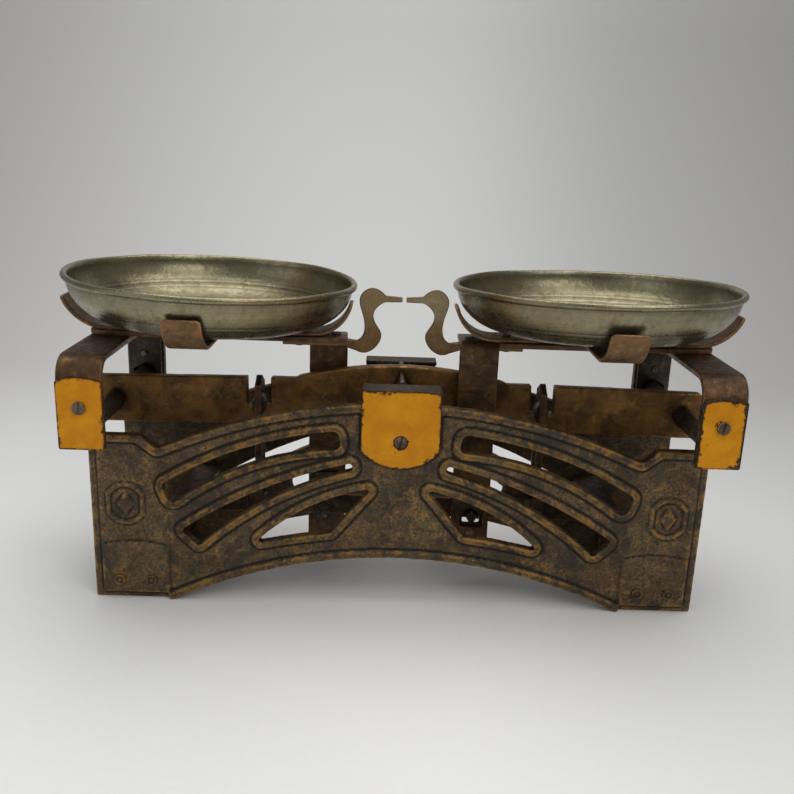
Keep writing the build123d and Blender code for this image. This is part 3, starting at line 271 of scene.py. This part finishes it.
def plated_pan(name, seed, centre, stain_side):
    """Pitted tin plate with turning lines about the pan's axis and brown tarnish."""
    f = Finish(name)
    out = f.add("ShaderNodeVectorMath", {0: f.place, 1: centre}, operation="SUBTRACT").outputs[0]
    split = f.add("ShaderNodeSeparateXYZ", {0: out})
    radius = f.sums("SQRT", f.sums("ADD", f.sums("MULTIPLY", split.outputs[0], split.outputs[0]),
                                   f.sums("MULTIPLY", split.outputs[1], split.outputs[1])))
    sweep = f.add("ShaderNodeCombineXYZ", {0: radius, 2: split.outputs[2]}).outputs[0]
    rings = f.add("ShaderNodeTexNoise", {"Vector": sweep, "Scale": 1 / (0.8 * MM), "Detail": 4.0,
                                         "Roughness": 0.65}).outputs["Fac"]
    bands = f.add("ShaderNodeTexNoise", {"Vector": sweep, "Scale": 1 / (5 * MM), "Detail": 3.0,
                                         "Roughness": 0.6}).outputs["Fac"]
    clouds = f.noise(22 * MM, 5, 0.62, 0.6, seed=seed)
    patches = f.noise(6 * MM, 5, 0.7, 0.6, seed=seed + 2)
    grain = f.noise(0.9 * MM, 3, 0.8, seed=seed + 4)
    pits = f.cells(3.0 * MM, seed=seed + 6)
    small = f.cells(1.4 * MM, seed=seed + 8)
    cavity = f.attribute("cavity")
    colour = f.mix(f.step(clouds, 0.32, 0.68), rgb(128, 122, 98), rgb(156, 148, 118))
    colour = f.mix(f.step(patches, 0.46, 0.70, 0, 0.7), colour, rgb(112, 98, 60))
    colour = f.mix(f.step(bands, 0.42, 0.62, 0, 0.35), colour, rgb(120, 118, 104))
    colour = f.mix(f.step(rings, 0.30, 0.5, 0.35, 0), colour, rgb(96, 90, 72))
    # painted reflection: the pan's floor, inside and out, darkened as if it mirrored a dark room
    floor = f.step(radius, 38 * MM, 58 * MM, 0.62, 0.0)
    colour = f.mix(f.sums("MULTIPLY", floor, f.step(clouds, 0.25, 0.6, 0.4, 1.0)), colour,
                   rgb(96, 76, 44))
    side = f.sums("MULTIPLY", split.outputs[0], stain_side)
    stain = f.sums("MULTIPLY", f.step(side, 0.0, 70 * MM), f.step(clouds, 0.38, 0.62))
    colour = f.mix(f.sums("MULTIPLY", stain, 0.7), colour, rgb(112, 84, 46))
    colour = f.mix(f.step(grain, 0.28, 0.42, 0.5, 0), colour, rgb(70, 62, 44))
    marks = f.sums("MULTIPLY", f.step(pits, 0.08, 0.16, 1.0, 0.0), f.step(patches, 0.34, 0.48))
    marks = f.sums("MAXIMUM", marks, f.sums("MULTIPLY", f.step(small, 0.10, 0.2, 0.8, 0.0),
                                            f.step(clouds, 0.44, 0.58)))
    colour = f.mix(f.sums("MULTIPLY", marks, 0.9), colour, rgb(40, 30, 18))
    # painted shade in the turned grooves, under the rolled rim and in the pan's other hollows
    colour = f.mix(f.step(cavity, 0.1, 0.7, 0, 0.8), colour, rgb(52, 38, 24))
    rough = f.step(patches, 0.3, 0.75, 0.20, 0.44)
    rough = f.blur(marks, rough, 0.7)
    normal = f.bump(rings, 0.10 * MM)
    normal = f.bump(patches, 0.30 * MM, normal)
    normal = f.bump(f.sums("SUBTRACT", 1.0, marks), 0.12 * MM, normal)
    return f.close(colour, 0.93, rough, normal)


def pointer_plate(name, seed, base, stained):
    """Nickel plate worn to bronze, with small dark pits and dark edges."""
    f = Finish(name)
    edge = f.attribute("edge")
    clouds = f.noise(11 * MM, 5, 0.65, 0.8, seed=seed)
    patches = f.noise(3 * MM, 5, 0.7, 0.5, seed=seed + 2)
    grain = f.noise(0.6 * MM, 3, 0.8, seed=seed + 4)
    pits = f.cells(2.2 * MM, seed=seed + 6)
    height_up = f.add("ShaderNodeSeparateXYZ", {0: f.place}).outputs[2]
    low = f.step(height_up, 158 * MM, 176 * MM, 0.85, 0.0)
    colour = f.mix(f.step(clouds, 0.35, 0.65), base, rgb(142, 120, 86))
    colour = f.mix(f.step(patches, 0.48, 0.72, 0, 0.6), colour, stained)
    colour = f.mix(f.sums("MULTIPLY", low, f.step(patches, 0.25, 0.6, 0.5, 1.0)), colour,
                   rgb(112, 78, 40))
    colour = f.mix(f.step(grain, 0.28, 0.44, 0.5, 0), colour, rgb(84, 66, 46))
    marks = f.sums("MULTIPLY", f.step(pits, 0.09, 0.17, 1.0, 0.0), f.step(clouds, 0.44, 0.56))
    colour = f.mix(f.sums("MULTIPLY", marks, 0.9), colour, rgb(40, 30, 20))
    colour = f.mix(f.step(edge, 0.15, 0.6, 0, 0.9), colour, rgb(46, 34, 22))
    rough = f.step(patches, 0.3, 0.7, 0.38, 0.55)
    normal = f.bump(grain, 0.08 * MM)
    normal = f.bump(patches, 0.3 * MM, normal)
    normal = f.bump(f.sums("SUBTRACT", 1.0, marks), 0.15 * MM, normal)
    return f.close(colour, 0.6, rough, normal)


def plain_studio(name, colour):
    """Matt paper with a trace of tooth; painted shade darkens the wall, more towards its sides, and
    the right-hand side.
    """
    f = Finish(name)
    tooth = f.noise(4 * MM, 3, 0.6)
    across, along = f.add("ShaderNodeSeparateXYZ", {0: f.place}).outputs[:2]
    # painted shade: the wall darker towards its sides
    wall = f.mix(f.step(f.sums("ABSOLUTE", across), 0.05, 0.75), (0.68, 0.68, 0.675, 1.0),
                 (0.50, 0.49, 0.485, 1.0))
    # painted shade: the paper darker from the floor back onto the wall, then towards the right-hand
    # side
    shade = f.mix(f.step(along, -0.15, 0.55), colour, wall)
    shade = f.mix(f.step(across, 0.0, 0.4, 0.0, 0.34), shade, (0.26, 0.26, 0.26, 1.0))
    shade = f.mix(f.step(tooth, 0.3, 0.7, 0.0, 0.05), shade, (0.6, 0.6, 0.6, 1.0))
    return f.close(shade, 0.0, 0.9, f.bump(tooth, 0.05 * MM))


# ---------------------------------------------------------------- weathered copies

def neighbours(mesh):
    """Edge ends and the number of edges at each vertex."""
    ends = np.empty(len(mesh.edges) * 2, dtype=np.int64)
    mesh.edges.foreach_get("vertices", ends)
    ends = ends.reshape(-1, 2)
    count = np.bincount(ends.ravel(), minlength=len(mesh.vertices)).astype(float)
    return ends, np.maximum(count, 1)


def positions(mesh):
    flat = np.empty(len(mesh.vertices) * 3)
    mesh.vertices.foreach_get("co", flat)
    return flat.reshape(-1, 3)


def place_vertices(mesh, points):
    mesh.vertices.foreach_set("co", points.ravel())
    mesh.update()


def normals(mesh):
    flat = np.empty(len(mesh.vertices) * 3)
    mesh.vertices.foreach_get("normal", flat)
    return flat.reshape(-1, 3)


def relaxed(points, ends, count, rounds, pull=0.5):
    """Each point moves towards the middle of its neighbours, some rounds over."""
    points = points.copy()
    for _ in range(rounds):
        total = np.zeros_like(points)
        for axis in range(3):
            total[:, axis] = (np.bincount(ends[:, 0], points[ends[:, 1], axis], len(points))
                              + np.bincount(ends[:, 1], points[ends[:, 0], axis], len(points)))
        points += pull * (total / count[:, None] - points)
    return points


def save(mesh, name, values):
    layer = mesh.attributes.new(name, "FLOAT", "POINT")
    layer.data.foreach_set("value", np.clip(values, -100, 100).astype(np.float32))


def joined(name, meshes):
    """A new object that holds copies of some meshes."""
    shell = bmesh.new()
    for mesh in meshes:
        shell.from_mesh(mesh)
    mesh = bpy.data.meshes.new(name)
    shell.to_mesh(mesh)
    shell.free()
    piece = bpy.data.objects.new(name, mesh)
    bpy.context.scene.collection.objects.link(piece)
    return piece


def remesh(piece, voxel):
    """Replaces the piece's mesh by an even skin of small quads."""
    skin = piece.modifiers.new("skin", "REMESH")
    skin.mode = "VOXEL"
    skin.voxel_size = voxel
    skin.use_smooth_shade = True
    graph = bpy.context.evaluated_depsgraph_get()
    mesh = bpy.data.meshes.new_from_object(piece.evaluated_get(graph))
    piece.modifiers.clear()
    piece.data = mesh
    return piece


def weathered(node_name, voxel, rounding, material, span, reach, extra=(), crevice=0.0,
              lumps=0.0, name=None):
    """A copy of a CAD node with rounded edges, that knows its own ridges and crevices.

    rounding and span are rounds of smoothing: of the edges, and to tell ridges from hollows.
    A ridge that stands out by reach millimetres counts as a full one.
    """
    source = nodes[node_name]
    piece = joined(name or node_name + "_worn", [source.data, *extra])
    remesh(piece, voxel)
    mesh = piece.data
    ends, count = neighbours(mesh)
    points = positions(mesh)
    # the ridges and crevices are read before the edges are rounded
    first = relaxed(points, ends, count, 2)
    place_vertices(mesh, first)
    inwards = np.einsum("ij,ij->i", relaxed(first, ends, count, span) - first, normals(mesh))
    save(mesh, "edge", np.clip(-inwards / (reach * MM), 0, 1))
    save(mesh, "cavity", np.clip(inwards / (reach * MM), 0, 1))
    points = relaxed(first, ends, count, rounding)
    if crevice:
        points -= normals(mesh) * (np.clip(inwards / (reach * MM), 0, 1) * crevice)[:, None]
    if lumps:
        points += normals(mesh) * (lumps * waves(points))[:, None]
    place_vertices(mesh, points)
    finish_piece(piece, node_name, material)
    return piece


def waves(points):
    """A slow irregular ripple between about -1 and 1, from sines at odd angles."""
    total = np.zeros(len(points))
    for k, (length, turn) in enumerate(((31, 0.4), (19, 1.7), (12.5, 2.9), (8.3, 4.1), (5.1, 5.3))):
        along = (points[:, 0] * math.cos(turn) + points[:, 2] * math.sin(turn)
                 + 0.6 * points[:, 1]) / (length * MM)
        total += np.sin(2 * math.pi * along + 1.9 * k) / 2.2
    return total / 2


def finish_piece(piece, node_name, material):
    piece.data.materials.clear()
    piece.data.materials.append(material)
    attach(piece, BODY_OF[node_name])
    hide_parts(node_name)


BODY_OF = {node: body for body, members in frame["record"]["behaviour"]["bodies"].items()
           for node in members}


# ---------------------------------------------------------------- castings

MEDALLION_INSET = 20.6 * MM
MEDALLION_HEIGHT = 61 * MM
RIM_HEIGHT = 1.8 * MM
RELIEF = 1.1 * MM
LOZENGE_SIZE = (8.5 * MM, 12.5 * MM)


def lozenge(centre):
    """Plain raised lozenge in the middle of a medallion, which holds no lettering."""
    shell = bmesh.new()
    made = bmesh.ops.create_cone(shell, cap_ends=True, segments=4, radius1=0.5, radius2=0.5,
                                 depth=2 * RELIEF)
    bmesh.ops.rotate(shell, verts=made["verts"], matrix=Matrix.Rotation(math.pi / 2, 3, "X"))
    bmesh.ops.scale(shell, verts=made["verts"], vec=(LOZENGE_SIZE[0], 1, LOZENGE_SIZE[1]))
    bmesh.ops.translate(shell, verts=made["verts"], vec=centre)
    bmesh.ops.recalc_face_normals(shell, faces=shell.faces)
    mesh = bpy.data.meshes.new("lozenge")
    shell.to_mesh(mesh)
    shell.free()
    return mesh


def casting(node_name, side):
    low, high = (Vector(corner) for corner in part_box(node_name))
    outer = low.y if side < 0 else high.y
    panel = outer - side * RIM_HEIGHT
    reach = high.x - MEDALLION_INSET
    marks = [lozenge((turn * reach, panel, MEDALLION_HEIGHT)) for turn in (-1, 1)]
    return weathered(node_name, CASTING_VOXEL, 2, IRON, span=4, reach=0.15, extra=marks,
                     crevice=0.45 * MM, lumps=0.10 * MM,
                     name=node_name.replace("frame", "casting"))


BOSS_RING = 2.7 * MM
BOSS_RING_SECTION = 0.75 * MM
BOSS_RISE = 1.0 * MM           # from the middle of the ring to the top of the screw's head
BOSS_BUTTON = 1.5 * MM
BUTTON_SINK = 0.6 * MM
STEM_SHORTER = 1.9 * MM        # than the screw, at both ends together
BOSS_EDGE = 0.10 * MM
SAME_PLACE = 0.01 * MM


def loose_parts(shell):
    """Corner points of each separate part of a mesh, in the order of its vertices."""
    seen = set()
    parts = []
    for first in shell.verts:
        if first in seen:
            continue
        seen.add(first)
        queue = [first]
        corners = []
        while queue:
            vertex = queue.pop()
            corners.append(vertex.co[:])
            fresh = [edge.other_vert(vertex) for edge in vertex.link_edges]
            fresh = [other for other in fresh if other not in seen]
            seen.update(fresh)
            queue.extend(dict.fromkeys(fresh))
        parts.append(np.array(corners))
    return parts


def ring_bosses(node_name, material):
    """Riveted-over screw ends at the feet: a rolled ring round a low button."""
    shell = bmesh.new()
    shell.from_mesh(nodes[node_name].data)
    bmesh.ops.remove_doubles(shell, verts=shell.verts, dist=SAME_PLACE)
    meshes = []
    for corners in loose_parts(shell):
        low, high = corners.min(0), corners.max(0)
        side = -1 if high[1] < 0 else 1
        face = low[1] if side < 0 else high[1]
        middle = (low + high) / 2
        meshes.append(boss(middle[0], face - side * BOSS_RISE, middle[2], side))
        meshes.append(stem(middle, high[1] - low[1] - STEM_SHORTER))
    shell.free()
    piece = joined(node_name + "_worn", meshes)
    remesh(piece, SMALL_VOXEL)
    mesh = piece.data
    ends, count = neighbours(mesh)
    points = relaxed(positions(mesh), ends, count, 2)
    place_vertices(mesh, points)
    inwards = np.einsum("ij,ij->i", relaxed(points, ends, count, 4) - points, normals(mesh))
    save(mesh, "edge", np.clip(-inwards / BOSS_EDGE, 0, 1))
    save(mesh, "cavity", np.clip(inwards / BOSS_EDGE, 0, 1))
    finish_piece(piece, node_name, material)


def boss(x, y, z, side):
    """A torus flat on the plate, with a ball sunk in its middle."""
    shell = bmesh.new()
    turns, around = 32, 12
    rings = []
    for k in range(turns):
        turn = 2 * math.pi * k / turns
        ring = []
        for m in range(around):
            roll = 2 * math.pi * m / around
            radius = BOSS_RING + BOSS_RING_SECTION * math.cos(roll)
            ring.append(shell.verts.new((x + radius * math.cos(turn),
                                         y + side * BOSS_RING_SECTION * math.sin(roll),
                                         z + radius * math.sin(turn))))
        rings.append(ring)
    for ring, after in zip(rings, rings[1:] + rings[:1]):
        for m in range(around):
            shell.faces.new((ring[m], ring[(m + 1) % around], after[(m + 1) % around], after[m]))
    button = bmesh.ops.create_uvsphere(shell, u_segments=24, v_segments=12, radius=BOSS_BUTTON)
    bmesh.ops.translate(shell, verts=button["verts"], vec=(x, y - side * BUTTON_SINK, z))
    bmesh.ops.recalc_face_normals(shell, faces=shell.faces)
    mesh = bpy.data.meshes.new("boss")
    shell.to_mesh(mesh)
    shell.free()
    return mesh


def stem(middle, length):
    """The screw's stem, which the ring stands on."""
    shell = bmesh.new()
    made = bmesh.ops.create_cone(shell, cap_ends=True, segments=32, radius1=BOSS_RING,
                                 radius2=BOSS_RING, depth=length)
    bmesh.ops.rotate(shell, verts=made["verts"], matrix=Matrix.Rotation(math.pi / 2, 3, "X"))
    bmesh.ops.translate(shell, verts=made["verts"], vec=tuple(middle))
    mesh = bpy.data.meshes.new("stem")
    shell.to_mesh(mesh)
    shell.free()
    return mesh


# ---------------------------------------------------------------- yellow plates

FLAT_FACE = 0.94           # how squarely a point of a cover's flat face looks out
FRONT_SKIN = 0.6 * MM
BORDER_STEP = 0.5 * MM
CHUNK = 4000
WEAR_FROM = 0.72           # share of the plate's size where the wear of a worn side begins


def plate(node_name, material, side, bias):
    """A bearing cover with the distance to its border, which the enamel's chips follow.

    bias lists its worn sides as (axis, which end of it, strength).
    """
    piece = weathered(node_name, COVER_VOXEL, 3, material, span=4, reach=0.12)
    mesh = piece.data
    points = positions(mesh)
    across = normals(mesh)
    flat = np.abs(across[:, 1]) > FLAT_FACE
    out_face = flat & (points[:, 1] * side > 0) & (across[:, 1] * side > 0)
    front = points[:, 1] * side
    front_level = front[out_face].max() if out_face.any() else front.max()
    near_front = front > front_level - FRONT_SKIN
    rim = points[near_front & ~flat]
    flat_rim = np.unique(np.round(rim[:, [0, 2]] / BORDER_STEP), axis=0) * BORDER_STEP
    border = np.empty(len(points))
    for start in range(0, len(points), CHUNK):
        chunk = points[start:start + CHUNK][:, None, [0, 2]]
        border[start:start + CHUNK] = np.sqrt(((chunk - flat_rim) ** 2).sum(2)).min(1)
    save(mesh, "border", border / MM)
    save(mesh, "front", np.where(across[:, 1] * side > 0.5, 1.0, 0.0) * near_front)
    wear = np.zeros(len(points))
    low, high = points.min(0), points.max(0)
    share = (points - low) / (high - low)
    for axis, end, strength in bias:
        near = share[:, axis] if end > 0 else 1 - share[:, axis]
        wear += strength * np.clip((near - WEAR_FROM) / (1 - WEAR_FROM), 0, 1) ** 1.5
    save(mesh, "wear", wear)


# ---------------------------------------------------------------- pans

PAN_STEPS = 320
PAN_RADIUS = 84.6 * MM
PAN_FLOOR = 54 * MM
PAN_DEPTH = 27.1 * MM
PAN_WALL = 1.2 * MM
PAN_BEAD = 1.8 * MM
PAN_REACH = 113.6 * MM
PAN_BASE = 162.7 * MM
FLOOR_RINGS = 18
WALL_RINGS = 40
BEAD_RINGS = 15
GROOVED_RINGS = (19, 23)
GROOVE_DEPTH = 0.25 * MM
DENT_DEPTH = 0.25 * MM
PAN_HOLLOW = 0.10 * MM         # depth that counts as a full crevice
# each pan leans on its bent arms: degrees about X and Y, and its lift in millimetres
PAN_LEAN = {"left": (0.0, 2.05, 1.9), "right": (-1.7, -0.86, 2.6)}


def pan_profile():
    """Radius and height along the pan's section, from the middle outside to the middle inside."""
    lip = PAN_RADIUS - 1.5 * PAN_BEAD
    profile = [(PAN_FLOOR * k / FLOOR_RINGS, 0.0) for k in range(FLOOR_RINGS + 1)]
    for k in range(1, WALL_RINGS + 1):
        turn = k / WALL_RINGS * math.pi / 2
        radius = PAN_FLOOR + (lip - PAN_FLOOR) * math.sin(turn)
        height = (PAN_DEPTH - 2 * PAN_BEAD) * (1 - math.cos(turn)) ** 0.92
        groove = GROOVE_DEPTH * sum(math.exp(-((k - g) / 0.7) ** 2) for g in GROOVED_RINGS)
        profile.append((radius - groove, height))
    outer_count = len(profile)
    # the rolled bead, then back down the inside
    for k in range(1, BEAD_RINGS + 1):
        turn = (1.70 * k / BEAD_RINGS - 0.70) * math.pi
        profile.append((PAN_RADIUS - PAN_BEAD + PAN_BEAD * math.cos(turn),
                        PAN_DEPTH - PAN_BEAD + PAN_BEAD * math.sin(turn)))
    for radius, height in reversed(profile[1:outer_count]):
        profile.append((max(radius - PAN_WALL * 0.9, 0), height + PAN_WALL))
    profile.append((0.0, PAN_WALL))
    return profile


def spun(name, profile):
    """A mesh made by turning a profile about the Z axis."""
    shell = bmesh.new()
    rings = []
    for radius, height in profile:
        if radius < 1e-6:
            rings.append([shell.verts.new((0, 0, height))])
            continue
        rings.append([shell.verts.new((radius * math.cos(2 * math.pi * k / PAN_STEPS),
                                       radius * math.sin(2 * math.pi * k / PAN_STEPS), height))
                      for k in range(PAN_STEPS)])
    for ring, above in zip(rings, rings[1:]):
        for k in range(PAN_STEPS):
            after = (k + 1) % PAN_STEPS
            if len(ring) == 1:
                shell.faces.new((ring[0], above[after], above[k]))
            elif len(above) == 1:
                shell.faces.new((ring[k], ring[after], above[0]))
            else:
                shell.faces.new((ring[k], ring[after], above[after], above[k]))
    bmesh.ops.recalc_face_normals(shell, faces=shell.faces)
    mesh = bpy.data.meshes.new(name)
    shell.to_mesh(mesh)
    shell.free()
    for polygon in mesh.polygons:
        polygon.use_smooth = True
    return mesh


def pan(side_name, side, material):
    """Spun pan: rolled rim, two turned grooves outside, a few shallow dents."""
    mesh = spun(f"{side_name}_spun_pan", pan_profile())
    points = positions(mesh)
    angle = np.arctan2(points[:, 1], points[:, 0])
    radius = np.hypot(points[:, 0], points[:, 1])
    ripple = DENT_DEPTH * (np.sin(3 * angle + side) + 0.6 * np.sin(5 * angle + 2 * side)
                           + 0.4 * np.sin(9 * angle))
    points[:, 2] += ripple * (radius / PAN_RADIUS) ** 2
    about_x, about_y, lift = PAN_LEAN[side_name]
    lean = Matrix.Rotation(math.radians(about_y), 3, "Y") @ Matrix.Rotation(
        math.radians(about_x), 3, "X")
    centre = Vector((side * PAN_REACH, 0, PAN_BASE + lift * MM))
    points = points @ np.array(lean).T + np.array(centre)
    place_vertices(mesh, points)
    ends, count = neighbours(mesh)
    inwards = np.einsum("ij,ij->i", relaxed(points, ends, count, 3) - points, normals(mesh))
    save(mesh, "cavity", np.clip(inwards / PAN_HOLLOW, 0, 1))
    piece = bpy.data.objects.new(f"{side_name}_spun_pan", mesh)
    bpy.context.scene.collection.objects.link(piece)
    finish_piece(piece, f"{side_name}_pan", material)


# ---------------------------------------------------------------- the object

IRON = cast_bronze("cast_bronze", rgb(46, 38, 26), rgb(106, 86, 54), rgb(158, 118, 58),
                   rgb(98, 60, 32), 1.0)
BEAM_IRON = brown_steel("beam_bronze", rgb(70, 48, 20), rgb(130, 92, 42), rgb(168, 120, 60),
                        21.0, 0.44)
STRIP = brown_steel("brown_strip", rgb(54, 38, 22), rgb(104, 74, 42), rgb(152, 112, 70), 41.0)
LEVER = brown_steel("lever_steel", rgb(44, 34, 26), rgb(90, 66, 44), rgb(132, 98, 66), 51.0, 0.5)
BRONZE = brown_steel("bronze_arm", rgb(82, 58, 36), rgb(132, 98, 62), rgb(168, 128, 86), 61.0)
BLUED = brown_steel("knife_steel", rgb(40, 34, 30), rgb(74, 62, 52), rgb(120, 104, 88), 71.0, 0.38)
SCREW = brown_steel("screw_steel", rgb(70, 58, 46), rgb(128, 108, 88), rgb(176, 152, 128), 81.0,
                    0.38)


def object_pieces():
    casting("front_frame", -1)
    casting("back_frame", 1)
    weathered("main_beam", BEAM_VOXEL, 4, BEAM_IRON, span=5, reach=0.25, lumps=0.05 * MM)
    enamel = {"cap": yellow_enamel("cap_enamel", 5.0, 0.7),
              "left": yellow_enamel("left_enamel", 15.0, 0.45),
              "right": yellow_enamel("right_enamel", 25.0, 1.3)}
    plate("front_bearing_cap", enamel["cap"], -1, ((2, 1, 0.22), (0, 1, 0.18)))
    plate("back_bearing_cap", enamel["cap"], 1, ((2, 1, 0.10), (0, 1, 0.12)))
    for name, side in SIDES:
        for depth, face in (("front", -1), ("back", 1)):
            bias = ((2, -1, 0.10), (0, -1, 0.06)) if side < 0 else ((2, 1, 0.5), (0, 1, 0.45),
                                                                    (0, -1, 0.35))
            plate(f"{name}_{depth}_cover", enamel[name], face, bias)
        plated = plated_pan(f"{name}_plating", 30.0 + side, box_centre(f"{name}_pan"), -side)
        pan(name, side, plated)
        bird = pointer_plate(f"{name}_pointer_plate", 50.0 + side,
                             rgb(150, 138, 110) if side > 0 else rgb(134, 112, 80),
                             rgb(128, 102, 66))
        weathered(f"{name}_pointer", SMALL_VOXEL, 6, bird, span=5, reach=0.10)
        for node_name in (f"{name}_carrier_bar", f"{name}_end_strap"):
            weathered(node_name, PLATE_VOXEL, 4, STRIP, span=5, reach=0.16, lumps=0.04 * MM)
        for node_name in (f"{name}_long_arm", f"{name}_cross_arm"):
            weathered(node_name, PLATE_VOXEL, 3, BRONZE, span=4, reach=0.14)
        for node_name in (f"{name}_aux_lever", f"{name}_link", f"{name}_end_tie",
                          f"{name}_fulcrum_bridge"):
            weathered(node_name, HIDDEN_VOXEL, 2, LEVER, span=4, reach=0.2)
        for part in ("leg_bearing", "strap_bearings", "end_knife", "link_knife", "fulcrum_knife",
                     "lever_link_knife", "leg_knife"):
            weathered(f"{name}_{part}", KNIFE_VOXEL, 1, BLUED, span=4, reach=0.14)
        for part in ("carrier_rivets", "cover_screws"):
            weathered(f"{name}_{part}", SCREW_VOXEL, 2, SCREW, span=4, reach=0.08)
    for node_name in ("centre_knife", "front_centre_bearing", "back_centre_bearing"):
        weathered(node_name, KNIFE_VOXEL, 1, BLUED, span=4, reach=0.14)
    weathered("cap_screws", SCREW_VOXEL, 2, SCREW, span=4, reach=0.08)
    ring_bosses("tie_screws", IRON)


def box_centre(node_name):
    low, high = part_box(node_name)
    return tuple((a + b) / 2 for a, b in zip(low, high))


# ---------------------------------------------------------------- studio

FLOOR_SIZE = 3.2
BACKDROP_Y = 0.95
COVE_RADIUS = 0.45


def backdrop():
    """Paper sweep: flat floor, a wide cove and an upright back."""
    profile = [(-FLOOR_SIZE / 2, 0.0), (BACKDROP_Y - COVE_RADIUS, 0.0)]
    for k in range(1, 25):
        turn = k / 24 * math.pi / 2
        profile.append((BACKDROP_Y - COVE_RADIUS + COVE_RADIUS * math.sin(turn),
                        COVE_RADIUS * (1 - math.cos(turn))))
    profile.append((BACKDROP_Y, FLOOR_SIZE / 2))
    half = FLOOR_SIZE / 2
    points = [(x, y, z) for y, z in profile for x in (-half, half)]
    faces = [(2 * k, 2 * k + 1, 2 * k + 3, 2 * k + 2) for k in range(len(profile) - 1)]
    mesh = bpy.data.meshes.new("paper_sweep")
    mesh.from_pydata(points, [], faces)
    for polygon in mesh.polygons:
        polygon.use_smooth = True
    sweep = bpy.data.objects.new("paper_sweep", mesh)
    mesh.materials.append(plain_studio("studio_paper", (0.88, 0.88, 0.87, 1.0)))
    bpy.context.scene.collection.objects.link(sweep)


def area_light(name, place, target, size, power, colour):
    data = bpy.data.lights.new(name, "AREA")
    data.shape = "RECTANGLE"
    data.size, data.size_y = size
    data.energy = power
    data.color = colour
    lamp = bpy.data.objects.new(name, data)
    lamp.location = place
    lamp.rotation_euler = (Vector(target) - Vector(place)).to_track_quat("-Z", "Y").to_euler()
    bpy.context.scene.collection.objects.link(lamp)
    return lamp


def studio():
    backdrop()
    middle = (0, 0, 0.08)
    area_light("overhead", (0.05, 0.10, 1.35), middle, (1.5, 1.2), 13, (1.0, 0.99, 0.97))
    area_light("window", (0.55, -0.9, 0.95), middle, (0.9, 0.7), 4.0, (1.0, 0.98, 0.95))
    area_light("fill", (-1.0, -0.7, 0.6), middle, (1.0, 1.0), 2.0, (0.95, 0.98, 1.0))
    world = bpy.data.worlds.new("room")
    world.use_nodes = True
    sky = world.node_tree.nodes["Background"]
    sky.inputs["Color"].default_value = (0.80, 0.82, 0.84, 1.0)
    sky.inputs["Strength"].default_value = 0.30
    bpy.context.scene.world = world
    bpy.context.scene.view_settings.view_transform = "Standard"
    bpy.context.scene.view_settings.look = "None"


CAMERA_PLACE = Vector((-10.15, -519.67, 266.89)) * MM
CAMERA_PITCH = 0.2757
CAMERA_YAW = 0.0149
CAMERA_ROLL = 0.0358
LENS = 40.11


def camera():
    data = bpy.data.cameras.new("photo_view")
    data.lens = LENS
    data.sensor_width = 36.0
    data.clip_start = 0.01
    view = bpy.data.objects.new("photo_view", data)
    ahead = Vector((math.sin(CAMERA_YAW) * math.cos(CAMERA_PITCH),
                    math.cos(CAMERA_YAW) * math.cos(CAMERA_PITCH), -math.sin(CAMERA_PITCH)))
    level = Vector((math.cos(CAMERA_YAW), -math.sin(CAMERA_YAW), 0))
    upright = level.cross(ahead)
    right = level * math.cos(CAMERA_ROLL) + upright * math.sin(CAMERA_ROLL)
    up = upright * math.cos(CAMERA_ROLL) - level * math.sin(CAMERA_ROLL)
    turn = Matrix((right, up, -ahead)).transposed()
    view.matrix_world = Matrix.Translation(CAMERA_PLACE) @ turn.to_4x4()
    bpy.context.scene.collection.objects.link(view)
    bpy.context.scene.camera = view


object_pieces()
studio()
camera()
